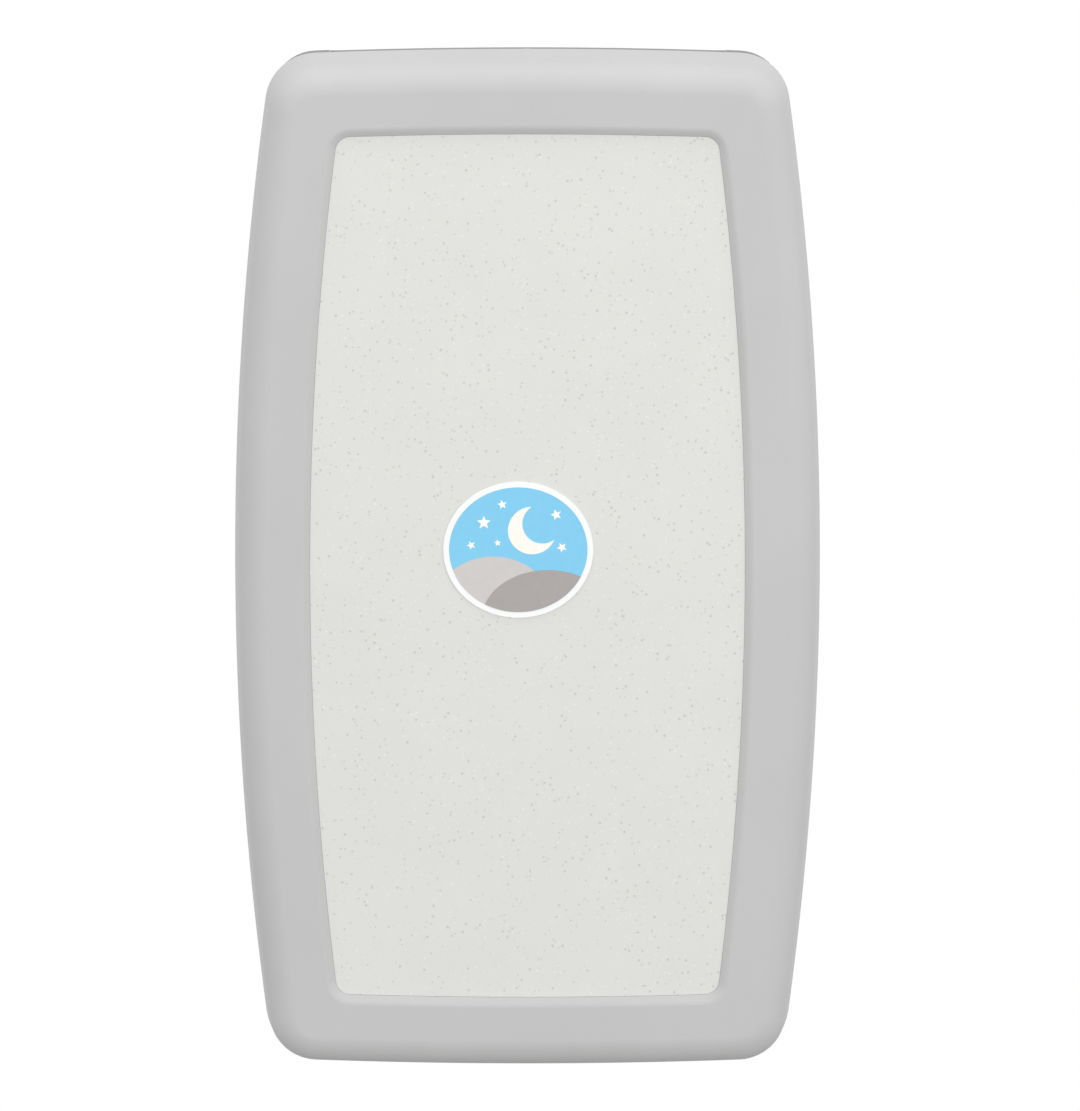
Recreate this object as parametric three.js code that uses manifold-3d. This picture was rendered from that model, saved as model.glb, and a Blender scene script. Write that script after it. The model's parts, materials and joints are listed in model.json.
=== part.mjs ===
// Wall-hung fold-down baby changing station, closed against the wall.
// Millimetres, +Z up, front towards -Y. The wall is the plane y = 0 and the origin is the middle of the wall face.
// Distances out from the wall are written u, so y = -u.

import * as THREE from 'three';
import { mergeVertices } from 'three/addons/utils/BufferGeometryUtils.js';
import Module from 'manifold-3d';

const wasm = await Module();
wasm.setup();

// Overall sizes
const width = 510;
const height = 896;
const depth = 102;
const backDepth = 38.5;
const partingGap = 1.5;
const sideBow = 33; // how far each long side bows out between its two ends
const endBow = 6.5;
const cornerRadius = 45;
const fit = 0.3; // clearance between pieces that seat on each other

// Bed shell
const shellWall = 3.5;
const edgeRoll = 25;
const bedDraft = 3;
const panelBorder = 65.5;
const panelCorner = 13;
const bevelWidth = 6;
const bevelDepth = 5.5;
const panelThickness = 3;
const bossRadius = 6;

// Badge
const badgeWidth = 131;
const badgeHeight = 121;
const badgeThickness = 1;
const badgeOffsetX = -8;
const badgeOffsetZ = 15;

// Tray
const trayWall = 3.5;
const trayLip = 62; // from the bed's outline to the edge of the hollow
const traySlope = 43;
const trayClear = 8.2; // from the tray's underside to the back of the panel's recess
const trayCurve = 2.2;
const trayLipCorner = 34;
const hingePadDepth = 9;

// Back shell
const backStep = 5.4;
const backEdge = 5;
const ledgeGap = 1; // from the hinge arms up to the ledge over them

// Hinge
const hingeRise = 28; // hinge axis above the bed's bottom rim
const barrelRadius = 5.5;
const barrelGap = 17; // from the hinge arms' feet in to the hinge's end
const knuckleCount = 6;
const leafThickness = 2;
const leafHeight = 32;
const hingeRodRadius = 3;
const hingeRodSpare = 0.7; // rod past its clips
const clipRadius = 6;
const clipThickness = 2;
const leafScrewRise = 25;
const leafScrewMargin = 40;

// Hinge arms and the gas strut
const armInset = 63; // from the bed's widest line in to the arms
const armThickness = 5;
const armNose = 9;
const armFootWidth = 30;
const armFootHeight = 44;
const armFootThickness = 2.2;
const armScrewPitch = 13;
const armScrewRise = 33;
const pivotRadius = 22;
const pivotAngle = THREE.MathUtils.degToRad(-20);
const slotRun = 6.8; // the open pivot's run towards the hinge axis
const slotPlay = 1.9;
const strutPinRadius = 3;
const strutEyeRadius = 6.5;
const strutEyeThickness = 5.6;
const strutRodRadius = 3;
const strutCylinderRadius = 9;
const strutCylinderLength = 125;
const strutTopU = 26; // upper pivot, out from the hinge axis
const strutTopRise = 250;
const strutInsertion = 55; // rod inside the cylinder when the bed is closed
const strutBoreSpare = 36;
const bracketThickness = 4;
const bracketFoot = 26;

// Wall frame
const railInset = 51.8; // from the bed's widest line in to the rails, which puts them at stud spacing
const railWidth = 26;
const railDepth = 20;
const railEndGap = 53; // from the bed's top rim down to the rails
const railRise = 4; // from the bottom bar's lower edge up to the rails' feet
const steelWall = 3;
const barHeight = 40;
const topBarThickness = 4;
const topBarDrop = 23;
const narrowBarHeight = 30;
const bottomBarRise = 18;
const wallSlotWidth = 9;
const wallSlotLength = 22;
const wallSlotDrop = 95; // from a rail's top to its upper slot

// Liner bins, lid and lock
const binGap = 36; // between the two bins
const binRailGap = 22.2; // from a rail in to a bin
const binHeight = 150;
const binTopGap = 103; // from the bed's top rim down to the bins
const binDepth = 24;
const binWall = 1.6;
const linerSlotMargin = 25;
const linerSlotHeight = 9;
const linerSlotRise = 12;
const lidInset = 83;
const lidThickness = 2.7;
const lidAxisU = 7;
const lidAxisDrop = 2.55; // from the top of the back at the lid's end down to the lid's pins
const lidBarrelRadius = 3.4;
const lidPinRadius = 1.4;
const lidPinLength = 13;
const lidFront = 34;
const lidLap = 7;
const windowRear = 11;
const windowSpare = 2; // how far the window's cut runs on below the top wall
const windowFront = 26;
const lockU = 20;
const lockRadius = 5;
const lockHeadRadius = 6.5;
const lockHeadHeight = 1.4;
const lockDrop = 6;
const camLength = 11;
const camThickness = 2;

// Bag hooks, bumpers and stop pads
const hookInset = 135;
const hookDrop = 168;
const hookReach = 22;
const hookWidth = 10;
const hookPlateWidth = 24;
const hookPlateHeight = 46;
const hookThickness = 4;
const bumperRadius = 7;
const bumperInset = 31;
const bumperEndGap = 198;
const stopPadX = 100;
const stopPadWidth = 40;
const stopPadHeight = 14;
const stopPadThickness = 1.4;

// Strap and buckle
const strapZ = 20;
const strapWidth = 38;
const strapThickness = 1.6;
const strapLift = 1.7;
const strapSlotStep = 0.5; // place of the slot down the tray's slope, 0 at the lip and 1 at the floor
const strapSlotHeight = 6;
const anchorRadius = 2.5;
const anchorSpare = 8;
const buckleX = 25;
const buckleHalf = 28;
const buckleBase = 2;
const cheekThickness = 4;
const cheekHeight = 13.5;
const camRadius = 7;
const bucklePinRadius = 2;
const leverLength = 34;
const leverThickness = 2.6;
const strapBarX = 22;
const strapBarRadius = 2.2;
const tailGap = 18.7; // from the tail's end to the foot of the tray's slope

// Screws
const screwRadius = 2;
const screwHeadRadius = 4;
const screwHeadHeight = 1.4;
const screwLength = 12;
const trayScrewInset = 24;
const trayScrewEndGap = 113;

// Counts of facets
const sideSteps = 4;
const cornerSteps = 5;
const endSteps = 2;
const rollSteps = 5;
const roundSteps = 16;
const hingeSteps = 12;
const smallSteps = 10;

// Sizes worked out from the above
const halfWidth = width / 2;
const halfHeight = height / 2;
const bedRear = backDepth + partingGap;
const rollStart = depth - edgeRoll;
const panelFront = depth - bevelDepth;
const recessFloor = panelFront - panelThickness - fit;
const hingeU = backDepth + partingGap / 2;
const hingeZ = -halfHeight + hingeRise;
const trayDepth = recessFloor - shellWall - trayClear - trayWall - bedRear;
const trayFloor = bedRear + trayDepth;
const flangeBack = bedRear + trayWall;
const flangeDraft = bedDraft * trayWall / (rollStart - bedRear);
const trayInset = shellWall + flangeDraft + fit;
const ledgeZ = hingeZ + armNose + ledgeGap;
const stopPadFront = hingeU - hingeRise + halfHeight - endZ(stopPadX - stopPadWidth / 2) - fit;
const stepFront = stopPadFront - stopPadThickness - fit;
const armInner = halfWidth - armInset;
const armOuter = armInner + armThickness;
const barrelHalf = armOuter - armFootWidth - barrelGap;
const leafScrewPitch = barrelHalf - leafScrewMargin;
const hingeRodHalf = armOuter + fit + clipThickness + hingeRodSpare;
const strutX = -(armOuter + fit + strutEyeThickness / 2);
const strutFootU = hingeU + pivotRadius * Math.cos(pivotAngle);
const strutFootZ = hingeZ + pivotRadius * Math.sin(pivotAngle);
const strutTop = new THREE.Vector3(strutX, -(hingeU + strutTopU), hingeZ + strutTopRise);
const strutFoot = new THREE.Vector3(strutX, -strutFootU, strutFootZ);
const backFaceInner = backDepth - shellWall;
const railX = halfWidth - railInset;
const bottomBarLow = hingeZ + bottomBarRise;
const bottomBarHigh = bottomBarLow + narrowBarHeight;
const railBottom = bottomBarLow + railRise;
const railTop = halfHeight - railEndGap;
const topBarZ = railTop - topBarDrop;
const wallSlotRow = railTop - wallSlotDrop;
const binWidth = railX - railWidth / 2 - binRailGap - binGap / 2;
const binSpread = binGap + binWidth; // between the middles of the two bins
const linerSlotLength = binWidth - 2 * linerSlotMargin;
const binBottom = halfHeight - binTopGap - binHeight;
const hookX = halfWidth - hookInset;
const hookZ = halfHeight - hookDrop;
const bumperRow = halfHeight - bumperEndGap;
const trayScrewRow = halfHeight - trayScrewEndGap;
const lidHalf = halfWidth - lidInset;
const lidAxisZ = endZ(lidHalf) - backStep - lidAxisDrop;
const lidSeat = lidThickness + fit;
const lugNear = lidHalf + 2 * fit;
const lugFar = lugNear + lidPinLength / 2;
const frontBarU = railDepth + fit;

// Materials, one for each kind of surface
const greyPlastic = material('#c6c6c6', 0.55, 0);
const backPlastic = material('#8c8c8c', 0.6, 0);
const panelPlastic = material('#e0e1dc', 0.5, 0);
const badgeFace = material('#6aa9d8', 0.4, 0);
const steel = material('#a9adb0', 0.35, 1);
const darkPlastic = material('#3a3c3e', 0.5, 0);
const rubber = material('#2b2b2b', 0.85, 0);
const webbing = material('#4a4d52', 0.9, 0);
const blackPaint = material('#232426', 0.45, 0);

function material(color, roughness, metalness) {
  return new THREE.MeshStandardMaterial({ color, roughness, metalness });
}

// Long side and end of the bed's outline: gentle bows, given as functions of height and of width
function sideX(z) {
  return halfWidth - sideBow * (z / halfHeight) ** 2;
}

function endZ(x) {
  return halfHeight - endBow * (x / halfWidth) ** 2;
}

// A closed mesh of three.js becomes a solid that can be joined and cut
function solid(geometry) {
  const plain = geometry.clone();
  plain.deleteAttribute('normal');
  plain.deleteAttribute('uv');
  const merged = mergeVertices(plain, 1e-4);
  return new wasm.Manifold(new wasm.Mesh({
    numProp: 3,
    vertProperties: new Float32Array(merged.attributes.position.array),
    triVerts: new Uint32Array(merged.index.array),
  }));
}

function geometryOf(body) {
  const mesh = body.getMesh();
  const geometry = new THREE.BufferGeometry();
  geometry.setAttribute('position', new THREE.BufferAttribute(new Float32Array(mesh.vertProperties), 3));
  geometry.setIndex(new THREE.BufferAttribute(new Uint32Array(mesh.triVerts), 1));
  geometry.computeVertexNormals();
  return geometry;
}

function join(bodies) {
  return bodies.reduce((sum, body) => sum.add(body));
}

function cut(body, tools) {
  return tools.reduce((rest, tool) => rest.subtract(tool), body);
}

// Box between two places on each of x, u and z
function block(x0, x1, u0, u1, z0, z1) {
  const geometry = new THREE.BoxGeometry(x1 - x0, u1 - u0, z1 - z0);
  geometry.translate((x0 + x1) / 2, -(u0 + u1) / 2, (z0 + z1) / 2);
  return solid(geometry);
}

// Round bars along x, u and z
function rodX(radius, x0, x1, u, z, steps = roundSteps) {
  const geometry = new THREE.CylinderGeometry(radius, radius, x1 - x0, steps);
  geometry.rotateZ(Math.PI / 2);
  geometry.translate((x0 + x1) / 2, -u, z);
  return solid(geometry);
}

function rodU(radius, x, u0, u1, z, steps = roundSteps) {
  const geometry = new THREE.CylinderGeometry(radius, radius, u1 - u0, steps);
  geometry.translate(x, -(u0 + u1) / 2, z);
  return solid(geometry);
}

function rodZ(radius, x, u, z0, z1, steps = roundSteps) {
  const geometry = new THREE.CylinderGeometry(radius, radius, z1 - z0, steps);
  geometry.rotateX(Math.PI / 2);
  geometry.translate(x, -u, (z0 + z1) / 2);
  return solid(geometry);
}

// Flat outline in (u, z) given width along x
function plateX(shape, x0, x1) {
  const settings = { depth: x1 - x0, bevelEnabled: false, curveSegments: smallSteps };
  const geometry = new THREE.ExtrudeGeometry(shape, settings);
  geometry.applyMatrix4(new THREE.Matrix4().set(0, 0, 1, x0, -1, 0, 0, 0, 0, 1, 0, 0, 0, 0, 0, 1));
  return turnedOut(geometry);
}

// Flat outline in (x, u) given height along z
function plateZ(shape, z0, z1) {
  const settings = { depth: z1 - z0, bevelEnabled: false, curveSegments: smallSteps };
  const geometry = new THREE.ExtrudeGeometry(shape, settings);
  geometry.applyMatrix4(new THREE.Matrix4().set(1, 0, 0, 0, 0, -1, 0, 0, 0, 0, 1, z0, 0, 0, 0, 1));
  return turnedOut(geometry);
}

// Flat outline in (x, z) given thickness along u
function plateU(shape, u0, u1) {
  const settings = { depth: u1 - u0, bevelEnabled: false, curveSegments: roundSteps };
  const geometry = new THREE.ExtrudeGeometry(shape, settings);
  geometry.applyMatrix4(new THREE.Matrix4().set(1, 0, 0, 0, 0, 0, -1, -u0, 0, 1, 0, 0, 0, 0, 0, 1));
  return turnedOut(geometry);
}

// Faces are turned to point outwards where a mirrored placing turned them in
function turnedOut(geometry) {
  const plain = geometry.index ? geometry.toNonIndexed() : geometry;
  const p = plain.attributes.position;
  const a = new THREE.Vector3();
  const b = new THREE.Vector3();
  const c = new THREE.Vector3();
  let volume = 0;
  for (let i = 0; i < p.count; i += 3) {
    a.fromBufferAttribute(p, i);
    b.fromBufferAttribute(p, i + 1);
    c.fromBufferAttribute(p, i + 2);
    volume += a.dot(b.clone().cross(c));
  }
  if (volume < 0) {
    for (let i = 0; i < p.count; i += 3) {
      b.fromBufferAttribute(p, i + 1);
      c.fromBufferAttribute(p, i + 2);
      p.setXYZ(i + 1, c.x, c.y, c.z);
      p.setXYZ(i + 2, b.x, b.y, b.z);
    }
  }
  return solid(plain);
}

// One ring of the bowed outline, drawn in by an inset, with a corner of the given radius
function ring(inset, radius) {
  const side = (z) => sideX(z) - inset;
  const end = (x) => endZ(x) - inset;
  let cx = side(halfHeight) - radius;
  let cz = halfHeight - inset - radius;
  let low = 0;
  let high = Math.PI / 2;
  for (let i = 0; i < 12; i += 1) {
    const zt = cz + radius * Math.sin(low);
    const xt = cx + radius * Math.cos(high);
    low = Math.atan(2 * sideBow * zt / halfHeight ** 2);
    high = Math.PI / 2 - Math.atan(2 * endBow * xt / halfWidth ** 2);
    cx = side(zt) - radius * Math.cos(low);
    cz = end(xt) - radius * Math.sin(high);
  }
  const quarter = [];
  const sideTop = cz + radius * Math.sin(low);
  const endRight = cx + radius * Math.cos(high);
  for (let i = 0; i < sideSteps; i += 1) {
    const z = sideTop * i / sideSteps;
    quarter.push([side(z), z]);
  }
  for (let i = 0; i <= cornerSteps; i += 1) {
    const angle = low + (high - low) * i / cornerSteps;
    quarter.push([cx + radius * Math.cos(angle), cz + radius * Math.sin(angle)]);
  }
  for (let i = 1; i <= endSteps; i += 1) {
    const x = endRight * (1 - i / endSteps);
    quarter.push([x, end(x)]);
  }
  const half = quarter.concat(quarter.slice(0, -1).reverse().map(([x, z]) => [-x, z]));
  return half.concat(half.slice(1, -1).reverse().map(([x, z]) => [x, -z]));
}

// Skin over rings that run from the wall side to the front, closed by a flat cap at each end
function loft(sections) {
  const rings = sections.map(({ inset, radius }) => ring(inset, radius));
  const count = rings[0].length;
  const positions = [];
  rings.forEach((points, i) => points.forEach(([x, z]) => positions.push(x, -sections[i].u, z)));
  const rearMiddle = positions.length / 3;
  positions.push(0, -sections[0].u, 0);
  positions.push(0, -sections[sections.length - 1].u, 0);
  const index = [];
  const last = (rings.length - 1) * count;
  for (let k = 0; k < count; k += 1) {
    const next = (k + 1) % count;
    for (let i = 0; i < rings.length - 1; i += 1) {
      const a = i * count + k;
      const b = i * count + next;
      index.push(a, b, b + count, a, b + count, a + count);
    }
    index.push(rearMiddle, next, k);
    index.push(rearMiddle + 1, last + k, last + next);
  }
  const geometry = new THREE.BufferGeometry();
  geometry.setAttribute('position', new THREE.BufferAttribute(new Float32Array(positions), 3));
  geometry.setIndex(index);
  return turnedOut(geometry);
}

// Strip of even thickness along a path in (x, u)
function strip(path, thickness) {
  const left = [];
  const right = [];
  path.forEach(([x, u], i) => {
    const [ax, au] = path[Math.max(i - 1, 0)];
    const [bx, bu] = path[Math.min(i + 1, path.length - 1)];
    const before = i > 0 ? unit(x - ax, u - au) : unit(bx - x, bu - u);
    const after = i < path.length - 1 ? unit(bx - x, bu - u) : before;
    const middle = unit(before[0] + after[0], before[1] + after[1]);
    const reach = thickness / 2 / (middle[0] * after[0] + middle[1] * after[1]);
    left.push([x - middle[1] * reach, u + middle[0] * reach]);
    right.push([x + middle[1] * reach, u - middle[0] * reach]);
  });
  const points = left.concat(right.reverse()).map(([x, u]) => new THREE.Vector2(x, u));
  return new THREE.Shape(points);
}

function unit(x, u) {
  const length = Math.hypot(x, u);
  return [x / length, u / length];
}

// Upright slot with round ends, as a cutter along u
function wallSlot(x, z) {
  const reach = wallSlotLength / 2 - wallSlotWidth / 2;
  return join([
    block(x - wallSlotWidth / 2, x + wallSlotWidth / 2, -1, steelWall + 1, z - reach, z + reach),
    rodU(wallSlotWidth / 2, x, -1, steelWall + 1, z - reach, smallSteps),
    rodU(wallSlotWidth / 2, x, -1, steelWall + 1, z + reach, smallSteps),
  ]);
}

// Screw with a domed head, driven along +u or -u from the face at u
function screw(x, u, z, towards) {
  const profile = [
    new THREE.Vector2(0, screwHeadHeight),
    new THREE.Vector2(screwHeadRadius * 0.6, screwHeadHeight * 0.85),
    new THREE.Vector2(screwHeadRadius, 0),
    new THREE.Vector2(screwRadius, 0),
    new THREE.Vector2(screwRadius, -screwLength + screwRadius),
    new THREE.Vector2(0, -screwLength),
  ];
  const geometry = new THREE.LatheGeometry(profile.reverse(), 8);
  geometry.rotateX(towards > 0 ? 0 : Math.PI);
  geometry.translate(x, -u, z);
  return turnedOut(geometry);
}

function screwHole(x, u0, u1, z) {
  return rodU(screwRadius + fit, x, u0, u1, z, smallSteps);
}

const station = new THREE.Group();
station.name = 'changing_station';

function piece(name, body, look) {
  const mesh = new THREE.Mesh(geometryOf(body), look);
  mesh.name = name;
  station.add(mesh);
}

// Bed shell: rolled outer skin, bevelled recess for the panel, hollow behind with screw posts
function bedSection(inset, u) {
  return { inset, u, radius: Math.max(cornerRadius - inset, panelCorner) };
}

function bedSkin(wall, startU) {
  const sections = [bedSection(wall, startU), bedSection(bedDraft + wall, rollStart)];
  const roll = edgeRoll - wall;
  for (let i = 1; i <= rollSteps; i += 1) {
    const angle = Math.PI / 2 * i / rollSteps;
    const inset = bedDraft + wall + roll * (1 - Math.cos(angle));
    sections.push(bedSection(inset, rollStart + roll * Math.sin(angle)));
  }
  return loft(sections);
}

function recessSection(inset, u) {
  return { inset, u, radius: panelCorner + panelBorder - inset };
}

const trayScrewPlaces = [];
for (const side of [-1, 1]) {
  for (const row of [-1, 0, 1]) {
    const z = row * trayScrewRow;
    trayScrewPlaces.push([side * (sideX(z) - trayScrewInset), z]);
  }
}

const bedOuter = bedSkin(0, bedRear);
const recess = loft([
  recessSection(panelBorder, recessFloor),
  recessSection(panelBorder, panelFront),
  recessSection(panelBorder - 2 * bevelWidth, panelFront + 2 * bevelDepth),
]);
const recessBacking = loft([
  recessSection(panelBorder - bevelWidth - shellWall, recessFloor - shellWall),
  recessSection(panelBorder - bevelWidth - shellWall, depth),
]);
const bedHollow = cut(bedSkin(shellWall, bedRear - 1), [recessBacking]);
const bosses = trayScrewPlaces.map(([x, z]) => {
  const post = rodU(bossRadius, x, flangeBack + fit, depth, z, smallSteps).intersect(bedOuter);
  return post.subtract(screwHole(x, flangeBack, flangeBack + screwLength + 2, z));
});
const bedShell = join([cut(bedOuter, [recess, bedHollow]), ...bosses]);
piece('bed_shell', bedShell, greyPlastic);

// Insert panel in the recess, and the oval badge on it
piece('insert_panel', loft([
  recessSection(panelBorder + fit, recessFloor + fit),
  recessSection(panelBorder + fit, panelFront),
]), panelPlastic);

const oval = new THREE.Shape();
oval.absellipse(badgeOffsetX, badgeOffsetZ, badgeWidth / 2, badgeHeight / 2, 0, Math.PI * 2);
piece('badge_plate', plateU(oval, panelFront + fit, panelFront + fit + badgeThickness), badgeFace);

// Tray: flange inside the shell's rim, and a bowl that curves down to a flat floor
function bowlSection(step, grow) {
  const inset = trayLip + traySlope * step - grow;
  const fall = trayDepth * (1 - (1 - step) ** trayCurve);
  return { inset, u: bedRear + fall + grow, radius: trayLipCorner };
}

function bowl(grow, startU) {
  const lip = bowlSection(0, grow);
  const sections = [{ ...lip, u: startU }];
  for (const step of [0, 0.12, 0.25, 0.5, 0.75, 1]) {
    sections.push(bowlSection(step, grow));
  }
  return loft(sections);
}

// The lip of the tray's wall at one step down the slope, as x and u at a given height
function slopePoint(step, z, grow) {
  const section = bowlSection(step, grow);
  return [sideX(z) - section.inset, section.u];
}

const slotPoint = slopePoint(strapSlotStep, strapZ, 0);
const slotU = slotPoint[1] - strapLift;
const padHalf = armInner - clipThickness;
const notchHalf = armNose + fit + 3;
const flange = loft([bedSection(trayInset, bedRear), bedSection(trayInset, flangeBack)]);
const hingePad = block(-padHalf, padHalf, bedRear + fit, bedRear + hingePadDepth,
  hingeZ - barrelRadius - 4, hingeZ + leafHeight + 2);
const bowlHollow = bowl(0, bedRear - 1);
const trayCuts = [bowlHollow];
trayCuts.push(rodX(barrelRadius + 0.8, -armInner, armInner, hingeU, hingeZ));
trayCuts.push(block(-barrelHalf - fit, barrelHalf + fit, bedRear - 1, bedRear + leafThickness + fit,
  hingeZ, hingeZ + leafHeight + fit));
for (const side of [-1, 1]) {
  const inner = side * (armInner - 4);
  const outer = side * (armOuter + strutEyeThickness + clipThickness + 2);
  trayCuts.push(block(Math.min(inner, outer), Math.max(inner, outer), bedRear - 1, trayFloor,
    hingeZ - notchHalf, hingeZ + pivotRadius + notchHalf));
  const slotIn = side * (slotPoint[0] - 14);
  const slotOut = side * (slotPoint[0] + 22);
  trayCuts.push(block(Math.min(slotIn, slotOut), Math.max(slotIn, slotOut),
    slotU - strapSlotHeight / 2, slotU + strapSlotHeight / 2,
    strapZ - strapWidth / 2 - 2, strapZ + strapWidth / 2 + 2));
}
for (const [x, z] of trayScrewPlaces) {
  trayCuts.push(screwHole(x, bedRear - 1, flangeBack + 1, z));
  trayCuts.push(rodU(screwHeadRadius + fit, x, bedRear - 1, bedRear + screwHeadHeight + fit, z, smallSteps));
}
const leafScrewXs = [-leafScrewPitch, 0, leafScrewPitch];
const leafScrewZ = hingeZ + leafScrewRise;
for (const x of leafScrewXs) {
  trayCuts.push(screwHole(x, bedRear, bedRear + screwLength + 4, leafScrewZ));
}
const bedTray = cut(join([flange, bowl(trayWall, flangeBack - 1), hingePad]), trayCuts);
piece('bed_tray', bedTray, greyPlastic);

trayScrewPlaces.forEach(([x, z], i) => {
  piece(`tray_screw_${i + 1}`, screw(x, bedRear + screwHeadHeight, z, 1), steel);
});

// Hinge: two leaves whose knuckles take turns along one rod
const knuckleLength = barrelHalf * 2 / knuckleCount;

function hingeLeaf(u0, u1, first, seatU) {
  const bodies = [block(-barrelHalf, barrelHalf, u0, u1, hingeZ + barrelRadius + 0.8, hingeZ + leafHeight)];
  for (let i = first; i < knuckleCount; i += 2) {
    const x0 = -barrelHalf + knuckleLength * i + (i > 0 ? fit : 0);
    const x1 = -barrelHalf + knuckleLength * (i + 1) - fit;
    bodies.push(rodX(barrelRadius, x0, x1, hingeU, hingeZ, hingeSteps));
    bodies.push(block(x0, x1, u0, u1, hingeZ, hingeZ + leafHeight));
  }
  const rodBore = rodX(hingeRodRadius + fit, -barrelHalf - 1, barrelHalf + 1, hingeU, hingeZ, hingeSteps);
  const holes = leafScrewXs.flatMap((x) => [
    screwHole(x, u0 - 1, u1 + 1, leafScrewZ),
    headSeat(x, seatU - screwHeadHeight, seatU + screwHeadHeight, leafScrewZ),
  ]);
  return cut(join(bodies), [rodBore, ...holes]);
}

piece('hinge_frame_leaf', hingeLeaf(backDepth - leafThickness, backDepth, 0, backDepth), steel);
piece('hinge_bed_leaf', hingeLeaf(bedRear, bedRear + leafThickness, 1, bedRear), steel);
piece('hinge_rod', rodX(hingeRodRadius, -hingeRodHalf, hingeRodHalf, hingeU, hingeZ, hingeSteps), steel);

piece('hinge_rod_clip_left', rodClip(-1), steel);
piece('hinge_rod_clip_right', rodClip(1), steel);

function rodClip(side) {
  const x0 = side > 0 ? armOuter + fit : -armOuter - fit - clipThickness;
  const disc = rodX(clipRadius, x0, x0 + clipThickness, hingeU, hingeZ, hingeSteps);
  return disc.subtract(rodX(hingeRodRadius + fit, x0 - 1, x0 + clipThickness + 1, hingeU, hingeZ, hingeSteps));
}

leafScrewXs.forEach((x, i) => {
  const sink = screwHeadHeight - fit;
  piece(`hinge_frame_screw_${i + 1}`, screw(x, backDepth - sink, leafScrewZ, -1), steel);
  piece(`hinge_bed_screw_${i + 1}`, screw(x, bedRear + sink, leafScrewZ, 1), steel);
});

// Hinge arms: feet on the back, hubs on the rod, and noses that reach into the bed
const armScrewMiddle = armOuter - armFootWidth / 2 - armThickness / 2;
const armScrewXs = [-1, 1].map((way) => armScrewMiddle + way * armScrewPitch / 2);
const armScrewZ = hingeZ + armScrewRise;

function hingeArm(side) {
  const [x0, x1] = side > 0 ? [armInner, armOuter] : [-armOuter, -armInner];
  const [foot0, foot1] = side > 0 ? [armOuter - armFootWidth, armOuter] : [-armOuter, armFootWidth - armOuter];
  const along = new THREE.Vector2(Math.cos(pivotAngle), Math.sin(pivotAngle));
  const across = new THREE.Vector2(-along.y, along.x);
  const axis = new THREE.Vector2(hingeU, hingeZ);
  const at = (run, rise) => axis.clone().addScaledVector(along, run).addScaledVector(across, rise);
  const band = (from, to, half) => new THREE.Shape([
    at(from, -half), at(to, -half), at(to, half), at(from, half),
  ]);
  const slotHalf = strutPinRadius + slotPlay;
  const slotEnd = at(pivotRadius - slotRun, 0);
  const rear = backDepth - armFootThickness;
  const body = join([
    rodX(armNose, x0, x1, hingeU, hingeZ),
    rodX(armNose, x0, x1, strutFootU, strutFootZ),
    plateX(band(0, pivotRadius, armNose), x0, x1),
    block(x0, x1, rear, hingeU, hingeZ - armNose / 2, hingeZ + armNose),
    block(foot0, foot1, rear, backDepth, hingeZ + barrelRadius, hingeZ + armFootHeight),
  ]);
  const slot = [
    plateX(band(pivotRadius - slotRun, pivotRadius, slotHalf), x0 - 1, x1 + 1),
    rodX(slotHalf, x0 - 1, x1 + 1, slotEnd.x, slotEnd.y),
    rodX(slotHalf, x0 - 1, x1 + 1, strutFootU, strutFootZ),
  ];
  const holes = armScrewXs.flatMap((x) => [
    screwHole(side * x, rear - 1, backDepth + 1, armScrewZ),
    headSeat(side * x, backDepth - screwHeadHeight, backDepth + 1, armScrewZ),
  ]);
  return cut(body, [rodX(hingeRodRadius + fit, x0 - 1, x1 + 1, hingeU, hingeZ, hingeSteps), ...slot, ...holes]);
}

for (const [side, word] of [[-1, 'left'], [1, 'right']]) {
  piece(`hinge_arm_${word}`, hingeArm(side), steel);
  armScrewXs.forEach((x, i) => {
    const place = screw(side * x, backDepth - screwHeadHeight + fit, armScrewZ, -1);
    piece(`arm_screw_${word}_${i + 1}`, place, steel);
  });
}

// Gas strut: cylinder pinned to the bed, rod pinned in the left arm's slot
function rodBetween(radius, from, to, steps = roundSteps) {
  const run = to.clone().sub(from);
  const geometry = new THREE.CylinderGeometry(radius, radius, run.length(), steps);
  const upright = new THREE.Vector3(0, 1, 0);
  geometry.applyQuaternion(new THREE.Quaternion().setFromUnitVectors(upright, run.normalize()));
  geometry.translate((from.x + to.x) / 2, (from.y + to.y) / 2, (from.z + to.z) / 2);
  return solid(geometry);
}

const strutRun = strutFoot.clone().sub(strutTop).normalize();
const strutAt = (distance) => strutTop.clone().addScaledVector(strutRun, distance);
const strutLength = strutTop.distanceTo(strutFoot);
const topEyeRadius = strutEyeRadius + 1.5;
const cylinderStart = topEyeRadius * 2;
const cylinderEnd = cylinderStart + strutCylinderLength;
const eyeHalf = strutEyeThickness / 2;
const pinHole = (u, z) => rodX(strutPinRadius + fit, strutX - 20, strutX + 20, u, z);
const strutTopSpot = [-strutTop.y, strutTop.z];
const strutFootSpot = [strutFootU, strutFootZ];

piece('strut_cylinder', cut(join([
  rodX(topEyeRadius, strutX - eyeHalf, strutX + eyeHalf, ...strutTopSpot),
  rodBetween(eyeHalf, strutTop, strutAt(cylinderStart + 2)),
  rodBetween(strutCylinderRadius, strutAt(cylinderStart), strutAt(cylinderEnd)),
]), [
  pinHole(...strutTopSpot),
  rodBetween(strutRodRadius + fit, strutAt(cylinderEnd - strutInsertion - strutBoreSpare),
    strutAt(cylinderEnd + 1)),
]), blackPaint);

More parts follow.
